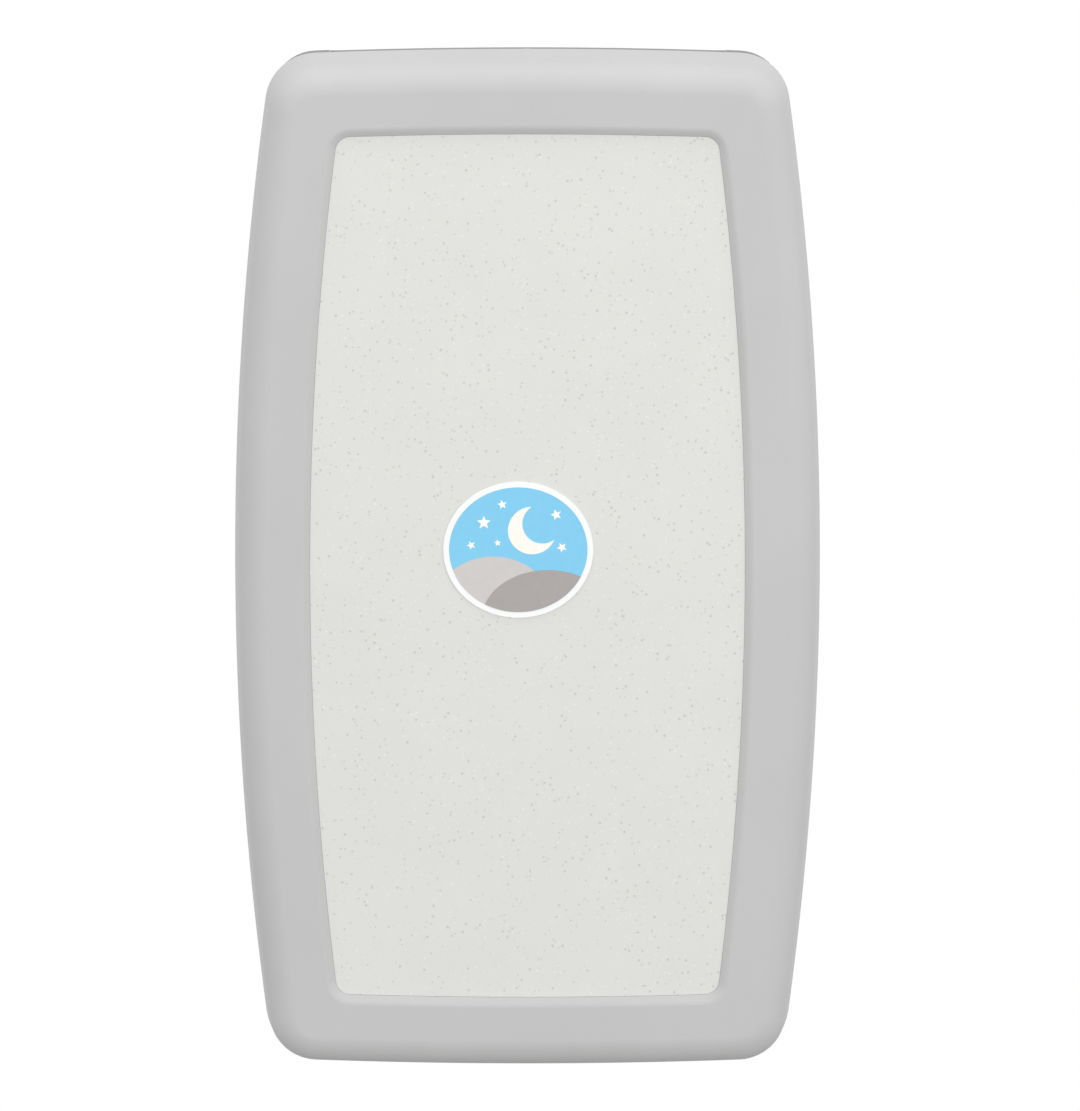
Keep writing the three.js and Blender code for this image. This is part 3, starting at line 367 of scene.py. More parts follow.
def wovenWebbing(name):
    # nylon webbing: yarns over and under, read off the ribbon's own map in metres
    material, shader, _ = newFinish(name, webbingLook["roughness"])
    spot = addNode(material, "UVMap", uv_map="UVMap").outputs["UV"]
    parts = addNode(material, "SeparateXYZ", {"Vector": spot}).outputs
    waves = []
    for axis, pitch in (("X", webbingLook["yarnAlong"]), ("Y", webbingLook["yarnAcross"])):
        turn = maths(material, "MULTIPLY", parts[axis], 2 * math.pi / pitch)
        waves.append(maths(material, "SINE", turn))
    raised = ranged(material, maths(material, "MULTIPLY", *waves), -1.0, 1.0)
    dark, light = webbingLook["dark"], webbingLook["light"]
    yarn = ramp(material, raised, (0.1, dark), (0.9, light))
    fuzz = ramp(material, noise(material, spot, 900, 3), (0.3, dark), (0.7, light))
    feed(material, shader, {"Base Color": mixed(material, webbingLook["fuzz"], yarn, fuzz),
                            "Sheen Weight": webbingLook["sheen"]})
    return bumped(material, shader, raised, 0.0004, 0.6)


finishes.update({
    "bed_plastic": tinted("moulded_bed_grey", tone(198, 198, 198), plasticLook),
    # painted shade: the back's grey is set darker than the bed's, so its thin edge round the bed's silhouette
    # shows as the shaded gap line
    "back_plastic": tinted("back_grey_darkened_for_painted_shade_line", tone(140, 140, 140), plasticLook),
    "panel_plastic": speckledPanel("speckled_panel"),
    "badge_print": tinted("badge_white", tone(247, 248, 248), filmLook),
    "zinc_steel": metal("zinc_steel", zincLook),
    "chrome_rod": metal("chrome_rod", chromeLook),
    "black_paint": clouded("strut_black", tone(24, 24, 26), tone(34, 34, 37), enamelLook),
    "dark_plastic": tinted("charcoal_plastic", tone(62, 64, 67), charcoalLook),
    "rubber": clouded("black_rubber", tone(38, 38, 38), tone(58, 58, 57), rubberLook),
    "webbing": wovenWebbing("grey_webbing"),
})
print("finishes ready:", len(finishes))

# The bed's bowed outline, shared by shell, panel, tray and back
bedLow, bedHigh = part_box("bed_shell")
bedForm = dict(sideBow=0.033, endBow=0.0065, cornerRadius=0.045, panelCorner=0.013, wall=0.0035,
               sideSteps=18, cornerSteps=10, endSteps=10, arcRounds=12)
halfWidth = bedHigh.x
halfHeight = bedHigh.z
bedRear = -bedHigh.y
bedFront = -bedLow.y
wall = bedForm["wall"]
ringCount = 4 * (bedForm["sideSteps"] + bedForm["cornerSteps"] + bedForm["endSteps"])


def sideX(z):
    return halfWidth - bedForm["sideBow"] * (z / halfHeight) ** 2


def endZ(x):
    return halfHeight - bedForm["endBow"] * (x / halfWidth) ** 2


def outlinePoints(inset, radius):
    # one quarter, side then corner arc then end, mirrored twice; the arc meets both bows smoothly
    cornerX = sideX(halfHeight) - inset - radius
    cornerZ = halfHeight - inset - radius
    low, high = 0.0, math.pi / 2
    for _ in range(bedForm["arcRounds"]):
        sideTop = cornerZ + radius * math.sin(low)
        endRight = cornerX + radius * math.cos(high)
        low = math.atan(2 * bedForm["sideBow"] * sideTop / halfHeight ** 2)
        high = math.pi / 2 - math.atan(2 * bedForm["endBow"] * endRight / halfWidth ** 2)
        cornerX = sideX(sideTop) - inset - radius * math.cos(low)
        cornerZ = endZ(endRight) - inset - radius * math.sin(high)
    sideTop = cornerZ + radius * math.sin(low)
    endRight = cornerX + radius * math.cos(high)
    sideSteps, cornerSteps, endSteps = (bedForm[word + "Steps"] for word in ("side", "corner", "end"))
    heights = [sideTop * i / sideSteps for i in range(sideSteps)]
    angles = [low + (high - low) * i / cornerSteps for i in range(cornerSteps + 1)]
    widths = [endRight * (1 - i / endSteps) for i in range(1, endSteps + 1)]
    quarter = [(sideX(z) - inset, z) for z in heights]
    quarter += [(cornerX + radius * math.cos(a), cornerZ + radius * math.sin(a)) for a in angles]
    quarter += [(x, endZ(x) - inset) for x in widths]
    half = quarter + [(-x, z) for x, z in reversed(quarter[:-1])]
    return half + [(x, -z) for x, z in reversed(half[1:-1])]


def settle(piece, inset, radius, u):
    # the picked ring goes to its section
    points = outlinePoints(inset, radius)
    mesh = bmesh.from_edit_mesh(piece.data)
    number = mesh.verts.layers.int["spot"]
    for corner in mesh.verts:
        if corner.select:
            x, z = points[corner[number]]
            corner.co = place(x, u, z)
    bmesh.update_edit_mesh(piece.data)


def lofted(name, sections):
    # a filled ring, extruded from section to section; sections are (inset, corner radius, u)
    piece = fresh(name, bpy.ops.mesh.primitive_circle_add, vertices=ringCount, radius=0.2, fill_type="NGON")
    bpy.ops.object.mode_set(mode="EDIT")
    mesh = bmesh.from_edit_mesh(piece.data)
    number = mesh.verts.layers.int.new("spot")
    for i, corner in enumerate(mesh.verts):
        corner[number] = i
    bpy.ops.mesh.select_all(action="SELECT")
    settle(piece, *sections[0])
    for section in sections[1:]:
        bpy.ops.mesh.extrude_region_move()
        settle(piece, *section)
    bpy.ops.object.mode_set(mode="OBJECT")
    edited(piece, (bpy.ops.mesh.normals_make_consistent, {"inside": False}))
    piece.data.attributes.remove(piece.data.attributes["spot"])
    return piece


def thickened(piece, thickness, offset=-1):
    return applied(piece, "SOLIDIFY", thickness=thickness, offset=offset, use_even_offset=True)


def bedSection(inset, u):
    return inset, max(bedForm["cornerRadius"] - inset, bedForm["panelCorner"]), u


def quarterTurn(steps):
    # the insets and rises of a rounded edge, as shares of its radius
    angles = [math.pi / 2 * i / steps for i in range(steps + 1)]
    return [(1 - math.cos(angle), math.sin(angle)) for angle in angles]


# Bed shell: drafted side wall, rolled edge, flat border, bevelled recess for the panel
shellForm = dict(draft=0.003, roll=0.025, rollSteps=12, panelBorder=0.0655, bevelWidth=0.006,
                 bevelDepth=0.0055, brim=0.003, brimSteps=5, panelThickness=0.003, panelGap=0.00005,
                 panelEdge=0.0002, edge=0.0006)
rollStart = bedFront - shellForm["roll"]
panelFront = bedFront - shellForm["bevelDepth"]
recessFloor = panelFront - shellForm["panelThickness"] - clearance


def recessSection(inset, u):
    return inset, bedForm["panelCorner"] + shellForm["panelBorder"] - inset, u


def makeBedShell():
    roll, border, width, depth, brim = (shellForm[word] for word in (
        "roll", "panelBorder", "bevelWidth", "bevelDepth", "brim"))
    sections = [bedSection(0, bedRear)]
    for inward, forward in quarterTurn(shellForm["rollSteps"]):
        sections.append(bedSection(shellForm["draft"] + roll * inward, rollStart + roll * forward))
    for i in range(shellForm["brimSteps"] + 1):
        # the front turns softly into the bevel
        t = i / shellForm["brimSteps"]
        down = brim * t * t / math.hypot(width, depth)
        inset = border - width - brim * (1 - t) ** 2 + down * width
        sections.append(recessSection(inset, bedFront - down * depth))
    sections += [recessSection(border, panelFront), recessSection(border, recessFloor)]
    shell = lofted("bed_shell_moulding", sections)
    deleteFaces(shell, lambda middle: abs(middle.y + bedRear) < 0.0001)
    softEdges(thickened(shell, wall), shellForm["edge"], 30)
    standIn(shell, "bed_shell")


def makePanel():
    border = shellForm["panelBorder"] + shellForm["panelGap"]
    panel = lofted("insert_panel_sheet", [recessSection(border, recessFloor + clearance),
                                          recessSection(border, panelFront)])
    standIn(softEdges(panel, shellForm["panelEdge"], 40), "insert_panel")


makeBedShell()
makePanel()
print("bed shell and panel made")

# Badge: oval plate with a white rim, a sky field, and raised prints of a moon, stars and hills
# Ovals are (x, z, half width, half height), stars are (x, z, radius, turn), all from the badge's middle
badgeForm = dict(rim=0.0052, plate=0.00085, film=0.00012, edge=0.0003, sky=tone(112, 200, 238),
                 hillFar=tone(201, 197, 194), hillNear=tone(160, 154, 151), moon=tone(250, 247, 238),
                 star=tone(255, 255, 255), farOval=(-0.022, -0.052, 0.052, 0.046),
                 nearOval=(0.026, -0.062, 0.058, 0.044), moonOval=(0.012, 0.017, 0.021, 0.021),
                 biteOval=(0.021, 0.023, 0.0175, 0.0175), starNotch=0.45,
                 stars=((-0.030, 0.024, 0.0062, 0.0), (-0.041, 0.004, 0.0040, 0.4),
                        (-0.014, 0.040, 0.0043, 0.2), (0.038, 0.002, 0.0046, 0.5),
                        (-0.018, 0.006, 0.0032, 0.1), (0.033, 0.031, 0.0050, 0.3)))
badgeLow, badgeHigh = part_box("badge_plate")
badgeMiddle = (badgeLow + badgeHigh) / 2
badgeHalf = (badgeHigh - badgeLow) / 2
badgeSeat = -badgeHigh.y


def ovalPlate(name, oval, u0, u1, sides=96):
    # a disc drawn out to an oval that faces the front
    x, z, halfX, halfZ = oval
    piece = fresh(name, bpy.ops.mesh.primitive_circle_add, (halfX, halfZ, 1), vertices=sides, radius=1,
                  fill_type="NGON", rotation=(math.pi / 2, 0, 0),
                  location=place(badgeMiddle.x + x, u0, badgeMiddle.z + z))
    return normalsOut(drawnOut(piece, (0, u0 - u1, 0)))


def starPlate(name, star, u0, u1):
    # ten points by turns far and near
    x, z, radius, turn = star
    piece = ovalPlate(name, (0, 0, 1, 1), u0, u1, 10)
    for corner in piece.data.vertices:
        angle = math.atan2(corner.co.z - badgeMiddle.z, corner.co.x - badgeMiddle.x)
        step = round(angle / (math.pi / 5) - 0.5)
        reach = radius if step % 2 == 0 else radius * badgeForm["starNotch"]
        corner.co.x = badgeMiddle.x + x + reach * math.cos(angle + turn)
        corner.co.z = badgeMiddle.z + z + reach * math.sin(angle + turn)
    return piece


def makeBadge():
    front = badgeSeat + badgeForm["plate"]
    film = badgeForm["film"]
    field = (0, 0, badgeHalf.x - badgeForm["rim"], badgeHalf.z - badgeForm["rim"])
    plate = ovalPlate("badge_rim", (0, 0, badgeHalf.x, badgeHalf.z), badgeSeat, front)
    standIn(softEdges(plate, badgeForm["edge"], 40), "badge_plate")

    def printed(piece, word):
        taken(piece, "bed", "badge_print", tinted(piece.name + "_ink", badgeForm[word], filmLook))

    printed(ovalPlate("badge_sky", field, front - film, front + film), "sky")
    for word, name, layers in (("far", "hillFar", 2), ("near", "hillNear", 3)):
        hill = ovalPlate("badge_hill_" + word, badgeForm[word + "Oval"], front, front + film * layers)
        window = ovalPlate("window", field, front - over, front + 4 * over)
        printed(carved(hill, [window], "INTERSECT"), name)
    moon = ovalPlate("badge_moon", badgeForm["moonOval"], front, front + film * 2)
    bite = ovalPlate("bite", badgeForm["biteOval"], front - over, front + 2 * over)
    printed(carved(moon, [bite]), "moon")
    for i, star in enumerate(badgeForm["stars"], 1):
        printed(starPlate(f"badge_star_{i}", star, front, front + film * 2), "star")


makeBadge()
print("badge made")


# Turned forms, screws, and plates bowed like the top
def aimed(spot, run):
    # the move that stands a piece's own z axis on a spot, along a run
    turn = run.to_track_quat("Z", "Y").to_matrix().to_4x4()
    turn.translation = spot
    return turn


def turned(name, start, end, profile, sides=48):
    # a filled circle extruded along its axis; profile holds (distance, radius), and a step back makes a bore
    far, wide = profile[0]
    piece = fresh(name, bpy.ops.mesh.primitive_circle_add, vertices=sides, radius=wide, fill_type="NGON",
                  location=(0, 0, far))
    bpy.ops.object.mode_set(mode="EDIT")
    bpy.ops.mesh.select_all(action="SELECT")
    for nextFar, nextWide in profile[1:]:
        bpy.ops.mesh.extrude_region_move(TRANSFORM_OT_translate={"value": (0, 0, nextFar - far)})
        grow = nextWide / wide
        bpy.ops.transform.resize(value=(grow, grow, 1), center_override=(0, 0, nextFar))
        far, wide = nextFar, nextWide
    bpy.ops.object.mode_set(mode="OBJECT")
    piece.data.transform(aimed(place(*start), place(*end) - place(*start)))
    return normalsOut(piece)


def pinProfile(length, radius, edge):
    return [(0, radius - edge), (edge, radius), (length - edge, radius), (length, radius - edge)]


def ends(node, axis):
    # first and last point of a node along one axis, as (x, u, z)
    low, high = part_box(node)
    first = (low + high) / 2
    last = first.copy()
    first[axis], last[axis] = low[axis], high[axis]
    return (first.x, -first.y, first.z), (last.x, -last.y, last.z)


def roundPin(node, axis, radius, edge=0.0004):
    start, end = ends(node, axis)
    length = (Vector(end) - Vector(start)).length
    standIn(turned(node + "_turned", start, end, pinProfile(length, radius, edge)), node)


def bowedPlate(name, half, u, depths, steps=24):
    # a grid drawn out to a plate and lifted to the bow; depths are below the back's outer face
    piece = fresh(name, bpy.ops.mesh.primitive_grid_add, (2 * half, u[1] - u[0], 1), x_subdivisions=steps,
                  y_subdivisions=1, size=1, location=place(0, (u[0] + u[1]) / 2, -depths[1]))
    drawnOut(piece, (0, 0, depths[1] - depths[0]))
    for corner in piece.data.vertices:
        corner.co.z += endZ(corner.co.x) - backForm["step"]
    return normalsOut(piece)


def mirrored(side, near, far):
    return sorted((side * near, side * far))


screwForm = dict(head=0.004, height=0.0014, shank=0.002, length=0.012, slotWidth=0.0009, slotLength=0.0044,
                 slotDepth=0.0009, rings=7, pitch=0.0013, core=0.8, point=0.0002, sides=24,
                 dome=((0, 0.45), (0.0001, 0.62), (0.0005, 0.86), (0.0010, 0.98)))


def screwBore(node, u0, u1, size="shank", sides=24):
    x, _, z = middleOf(node)
    return rod(screwForm[size] + clearance, (x, u0, z), (x, u1, z), sides)


def makeScrew():
    # domed head with a cross, shank with rolled rings and a point; head top at z = 0, driven towards -z
    tall, head, shank = screwForm["height"], screwForm["head"], screwForm["shank"]
    core = shank * screwForm["core"]
    profile = [(far, head * share) for far, share in screwForm["dome"]] + [(tall, head), (tall, core)]
    far = tall + 0.0006
    for _ in range(screwForm["rings"]):
        profile += [(far, core), (far + 0.0006, shank), (far + 0.0009, core)]
        far += screwForm["pitch"]
    profile.append((tall + screwForm["length"], screwForm["point"]))
    screw = turned("screw", (0, 0, 0), (0, 0, -1), profile, screwForm["sides"])
    long = (-screwForm["slotLength"] / 2, screwForm["slotLength"] / 2)
    thin = (-screwForm["slotWidth"] / 2, screwForm["slotWidth"] / 2)
    deep = (-screwForm["slotDepth"], over)
    return carved(screw, [block(long, thin, deep), block(thin, long, deep)])


def setScrew(screw, node, way):
    # way 1 drives it away from the wall, -1 towards the wall
    low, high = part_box(node)
    x, _, z = middleOf(node)
    copy = linked(node + "_turned", screw.data.copy())
    copy.data.transform(aimed(place(x, -high.y if way > 0 else -low.y, z), Vector((0, way, 0))))
    standIn(copy, node)


# Tray: flange inside the rim, and a bowl that curves down to a flat floor
trayForm = dict(lip=0.062, slope=0.043, depth=0.038, curve=2.2, lipCorner=0.034, steps=10, gap=0.0041,
                lipEdge=0.0016, padDepth=0.009, padGap=0.002, padDown=0.0095, padUp=0.034, barrelGap=0.0008,
                armIn=0.004, armOut=0.0096, armDown=0.0123, armUp=0.0343, slotIn=0.014, slotOut=0.022,
                slotGap=0.002, headDeep=0.0017, shankDeep=0.006, leafScrewDeep=0.016)
hingeForm = dict(barrel=0.0055, leafThickness=0.002, armThickness=0.005, footThickness=0.0022)
hingeAxis = Vector(jointOf["bed_fold"]["pos_m"])
armLow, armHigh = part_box("hinge_arm_right")
armInner = armHigh.x - hingeForm["armThickness"]
leafLow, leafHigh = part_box("hinge_bed_leaf")
leafSpan = (leafLow.x - clearance, leafHigh.x + clearance)
trayFloor = bedRear + trayForm["depth"]


def bowlSection(step):
    fall = trayForm["depth"] * (1 - (1 - step) ** trayForm["curve"])
    return trayForm["lip"] + trayForm["slope"] * step, trayForm["lipCorner"], bedRear + fall


def slopeSpot(step, z):
    inset, _, u = bowlSection(step)
    return sideX(z) - inset, u


strapForm = dict(z=0.020, width=0.038, thickness=0.0016, lift=0.0017, slotStep=0.5, slotHeight=0.006,
                 hem=0.022, bend=0.006, wrap=320, wrapSteps=24, foldGap=0.0001, foldSteps=12, soft=0.0003)
slotX, slotFace = slopeSpot(strapForm["slotStep"], strapForm["z"])
slotU = slotFace - strapForm["lift"]


def makeTray():
    sections = [bedSection(trayForm["gap"], bedRear)]
    sections += [bowlSection(i / trayForm["steps"]) for i in range(trayForm["steps"] + 1)]
    tray = lofted("bed_tray_moulding", sections)
    deleteFaces(tray, lambda middle: abs(middle.y + bedRear) < 0.0001 and middle.xz.length < 0.01)
    turnTowards(tray, Vector((0, 1, 0)))
    thickened(tray, wall)
    u, z = -hingeAxis.y, hingeAxis.z
    padHalf = armInner - trayForm["padGap"]
    pad = block((-padHalf, padHalf), (bedRear + clearance, bedRear + trayForm["padDepth"]),
                (z - trayForm["padDown"], z + trayForm["padUp"]))
    carved(tray, [pad], "UNION")
    tools = [rod(hingeForm["barrel"] + trayForm["barrelGap"], (-armInner, u, z), (armInner, u, z)),
             block(leafSpan, (bedRear - over, bedRear + hingeForm["leafThickness"] + clearance),
                   (z, leafHigh.z + clearance))]
    half = strapForm["width"] / 2 + trayForm["slotGap"]
    tall = strapForm["slotHeight"] / 2
    for side in (-1, 1):
        tools.append(block(mirrored(side, armInner - trayForm["armIn"], armHigh.x + trayForm["armOut"]),
                           (bedRear - over, trayFloor), (z - trayForm["armDown"], z + trayForm["armUp"])))
        tools.append(block(mirrored(side, slotX - trayForm["slotIn"], slotX + trayForm["slotOut"]),
                           (slotU - tall, slotU + tall), (strapForm["z"] - half, strapForm["z"] + half)))
    for i in range(1, 7):
        node = f"tray_screw_{i}"
        tools.append(screwBore(node, bedRear - over, bedRear + trayForm["headDeep"], "head", 48))
        tools.append(screwBore(node, bedRear, bedRear + trayForm["shankDeep"], sides=48))
    for i in range(1, 4):
        deep = bedRear + trayForm["leafScrewDeep"]
        tools.append(screwBore(f"hinge_bed_screw_{i}", bedRear, deep, sides=48))
    softEdges(carved(tray, tools), trayForm["lipEdge"], 38)
    standIn(tray, "bed_tray", angle=38)


makeTray()
print("tray made")

# Back shell: open towards the wall, stepped back at the foot, with a seat for the lid in its top
backForm = dict(step=0.0054, edge=0.005, edgeSteps=6, ledge=0.010, soft=0.0006, slotInset=0.025,
                slotLow=0.012, slotHigh=0.021, slotDeep=0.0035)
lidForm = dict(thickness=0.0027, barrel=0.0034, lap=0.007, window=(0.010, 0.026), notch=0.011, pin=0.0014,
               lug=0.0071, soft=0.0005)
backDepth = -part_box("back_shell")[0].y
stepFront = -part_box("stop_pad_left")[1].y - clearance
lidLow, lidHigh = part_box("liner_lid")
lidHalf = lidHigh.x
lidAxis = Vector(jointOf["lid_open"]["pos_m"])
lidLine = (-lidAxis.y, lidAxis.z)
lidSeat = lidForm["thickness"] + clearance


def backSections(inset, u0, u1):
    edge = backForm["edge"] - inset
    outer = backForm["step"] + inset
    return [bedSection(outer, u0)] + [bedSection(outer + edge * inward, u1 - edge + edge * forward)
                                      for inward, forward in quarterTurn(backForm["edgeSteps"])]


def makeBack():
    far = 1
    ledge = hingeAxis.z + backForm["ledge"]
    shell = lofted("back_shell_moulding", backSections(0, 0, backDepth))
    carved(shell, [block((-far, far), (stepFront, far), (-far, ledge))])
    hollow = lofted("hollow", backSections(wall, -over, backDepth - wall))
    carved(hollow, [block((-far, far), (stepFront - wall, far), (-far, ledge + wall))])
    carved(shell, [hollow])
    # sill and lugs for the lid
    foot = endZ(lidHalf) - backForm["step"] - lidSeat - wall
    lugFar = lidHalf + lidForm["lug"]
    lugTop = endZ(lugFar) - backForm["step"]
    around = (lidLine[0] - lidForm["barrel"], lidLine[0] + lidForm["barrel"])
    joined = [bowedPlate("sill", lidHalf + clearance + wall, (0, backDepth - wall / 2),
                         (lidSeat + wall, wall / 2))]
    joined += [block(mirrored(side, lidHalf + 2 * clearance, lugFar), around, (foot, lugTop))
               for side in (-1, 1)]
    carved(shell, joined, "UNION")
    # the lid's seat, the loading window and its notch, the lid's pins
    opening = lidHalf - lidForm["lap"]
    seat = lidHalf + clearance
    tall = (foot - 2 * over, halfHeight)
    tools = [bowedPlate("seat", seat, (-over, -lidLow.y + clearance), (lidSeat, -backForm["step"])),
             block((-opening, opening), lidForm["window"], tall),
             block((-seat, seat), (-over, lidForm["notch"]), tall),
             rod(lidForm["pin"] + clearance, (-lugFar - clearance, *lidLine), (lugFar + clearance, *lidLine))]
    # seats of the hinge leaf and the arms' feet
    front = backDepth + over
    tools.append(block(leafSpan, (backDepth - hingeForm["leafThickness"] - clearance, front),
                       (ledge - over, leafHigh.z + clearance)))
    tools += [block(mirrored(side, armLow.x - clearance, armHigh.x + clearance),
                    (backDepth - hingeForm["footThickness"] - clearance, front),
                    (ledge - over, armHigh.z + clearance)) for side in (-1, 1)]
    # liner slots and screw holes
    screws = (backDepth - wall - over, front)
    for hand in hands:
        low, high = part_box("liner_bin_" + hand)
        tools.append(block((low.x + backForm["slotInset"], high.x - backForm["slotInset"]),
                           (backDepth - wall - backForm["slotDeep"], front),
                           (low.z + backForm["slotLow"], low.z + backForm["slotHigh"])))
        tools += [screwBore(f"arm_screw_{hand}_{i}", *screws) for i in (1, 2)]
    tools += [screwBore(f"hinge_frame_screw_{i}", *screws) for i in (1, 2, 3)]
    softEdges(carved(shell, tools), backForm["soft"], 35, 2)
    standIn(shell, "back_shell")


# Lock: body, low domed head with a keyway, and the cam under the lid; head is (depth below the top, radius)
lockForm = dict(hole=0.0053, body=0.005, camHalf=0.0035, camTall=0.002, keyHalf=0.0025, keyThin=0.0006,
                keyDeep=0.0012, soft=0.0002,
                head=((0.0015, 0.0063), (0.0013, 0.0065), (0.0011, 0.0063), (0.0008, 0.0054),
                      (0.0006, 0.0042), (0.0005, 0.0028), (0.0005, 0.0012)))
lockLow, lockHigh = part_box("lid_lock")
lockU = middleOf("lid_lock")[1]


def makeLid():
    lid = bowedPlate("liner_lid_moulding", lidHalf, (-lidHigh.y, -lidLow.y), (lidForm["thickness"], 0))
    carved(lid, [rod(lidForm["barrel"], (-lidHalf, *lidLine), (lidHalf, *lidLine))], "UNION")
    tools = [rod(lockForm["hole"], (0, lockU, lidAxis.z - 10 * over), (0, lockU, halfHeight))]
    for hand in hands:
        start, end = ends("lid_pin_" + hand, 0)
        tools.append(rod(lidForm["pin"] + clearance, (start[0] - clearance, *lidLine),
                         (end[0] + clearance, *lidLine)))
        roundPin("lid_pin_" + hand, 0, lidForm["pin"])
    softEdges(cleaned(carved(lid, tools), 0.05), lidForm["soft"], 35, 2)
    standIn(lid, "liner_lid")


def makeLock():
    foot, top = lockLow.z, lockHigh.z
    body, head, camHalf, keyHalf, keyThin = (lockForm[word] for word in (
        "body", "head", "camHalf", "keyHalf", "keyThin"))
    profile = [(over, body), (top - foot - head[0][0], body)]
    profile += [(top - foot - down, radius) for down, radius in head]
    lock = turned("lid_lock_turned", (0, lockU, foot), (0, lockU, top), profile)
    cam = block((lockLow.x, body), (lockU - camHalf, lockU + camHalf), (foot, foot + lockForm["camTall"]))
    keyway = block((-keyHalf, keyHalf), (lockU - keyThin, lockU + keyThin),
                   (top - lockForm["keyDeep"], top + over))
    carved(carved(lock, [cam], "UNION"), [keyway])
    standIn(softEdges(lock, lockForm["soft"], 40, 2), "lid_lock", angle=40)


makeBack()
makeLid()
makeLock()
for hand in hands:
    softCopy("liner_bin_" + hand, 0.0006)
print("back, lid and bins made")

# Steel: wall frame, hinge, arms, bracket, pins, clips, and one screw copied to its places
steelForm = dict(barEdge=0.0006, leafEdge=0.0004,
                 bars=("wall_rail_left", "wall_rail_right", "top_bar", "middle_bar", "bottom_bar"),
                 leaves=("hinge_frame_leaf", "hinge_bed_leaf", "hinge_arm_left", "hinge_arm_right",
                         "strut_bracket"),
                 pinHead=((0, 0.0043), (0.0004, 0.0049), (0.0016, 0.0049), (0.002, 0.0045), (0.002, 0.003)))
clipForm = dict(outer=0.006, bore=0.0033, mouth=0.0022, drop=0.008, earNear=0.0032, earFar=0.0046,
                earHalf=0.0012, reach=0.003, soft=0.0002)


def makeClip(hand):
    # snap ring: a washer with a mouth and two ears
    node = "hinge_rod_clip_" + hand
    start, end = ends(node, 0)
    x, u, z = (start[0] + end[0]) / 2, start[1], start[2]
    outer, mouth, near, far, half = (clipForm[word] for word in (
        "outer", "mouth", "earNear", "earFar", "earHalf"))
    wide = (x - clipForm["reach"], x + clipForm["reach"])
    clip = turned(node + "_stamped", start, end, [(0, outer), (end[0] - start[0], outer)])
    carved(clip, [rod(clipForm["bore"], (wide[0], u, z), (wide[1], u, z)),
                  block(wide, (u - mouth, u + mouth), (z - clipForm["drop"], z)),
                  block(wide, (u - far, u - near), (z - half, z + half)),
                  block(wide, (u + near, u + far), (z - half, z + half))])
    standIn(softEdges(clip, clipForm["soft"], 40, 2), node)


def makeSteel():
    for node in steelForm["bars"]:
        softCopy(node, steelForm["barEdge"])
    for node in steelForm["leaves"]:
        softCopy(node, steelForm["leafEdge"])
    roundPin("hinge_rod", 0, 0.003, 0.0006)
    roundPin("strut_upper_pin", 0, 0.003, 0.0005)
    for hand in hands:
        roundPin("strap_anchor_" + hand, 2, 0.0025, 0.0005)
        makeClip(hand)
    roundPin("buckle_pin", 2, 0.002, 0.0003)
    start, end = ends("strut_lower_pin", 0)
    profile = list(steelForm["pinHead"])
    profile += [(end[0] - start[0] - far, radius) for far, radius in reversed(profile)]
    standIn(turned("strut_lower_pin_turned", start, end, profile), "strut_lower_pin")
    screw = makeScrew()
    for i in range(1, 7):
        setScrew(screw, f"tray_screw_{i}", 1)
    for i in range(1, 4):
        setScrew(screw, f"hinge_bed_screw_{i}", 1)
        setScrew(screw, f"hinge_frame_screw_{i}", -1)
    for hand in hands:
        for i in (1, 2):
            setScrew(screw, f"arm_screw_{hand}_{i}", -1)
    bpy.data.objects.remove(screw)


makeSteel()
print("steel made")

# Gas strut: painted cylinder with its eye, polished rod with its eye
# Profiles are (distance, drop below the full radius): collar from the cylinder's start, neck from its end
strutForm = dict(topEye=0.008, footEye=0.0065, eyeThickness=0.0056, eyeEdge=0.0006, hole=0.0033,
                 cylinder=0.009, rod=0.003, start=0.016, end=0.141, insertion=0.055, boreSpare=0.036,
                 stem=(0.005, 0.0026), collar=((0.0, 0.0063), (0.0002, 0.003), (0.0008, 0.001), (0.002, 0.0)),
                 neck=((0.011, 0.0), (0.0104, 0.0008), (0.009, 0.0008), (0.0084, 0.0), (0.003, 0.0),
                       (0.001, 0.0009), (0.0, 0.003)),
                 groove=((0.012, 0.0), (0.0115, 0.0004), (0.0105, 0.0004), (0.010, 0.0), (0.0055, 0.0)))
strutTop = Vector(jointOf["strut_swing"]["pos_m"])
strutRun = Vector(jointOf["strut_extend"]["axis"]).normalized()
strutLength = (strutTop - place(*middleOf("strut_lower_pin"))).yz.length


def strutSpot(distance):
    spot = strutTop + strutRun * distance
    return spot.x, -spot.y, spot.z


def eyed(piece, distance, radius):
    # a drilled eye on one end of the strut
    x, u, z = strutSpot(distance)
    thick = strutForm["eyeThickness"]
    eye = turned("eye", (x - thick / 2, u, z), (x + thick / 2, u, z),
                 pinProfile(thick, radius, strutForm["eyeEdge"]))
    carved(piece, [eye], "UNION")
    return carved(piece, [rod(strutForm["hole"], (x - 10 * over, u, z), (x + 10 * over, u, z))])


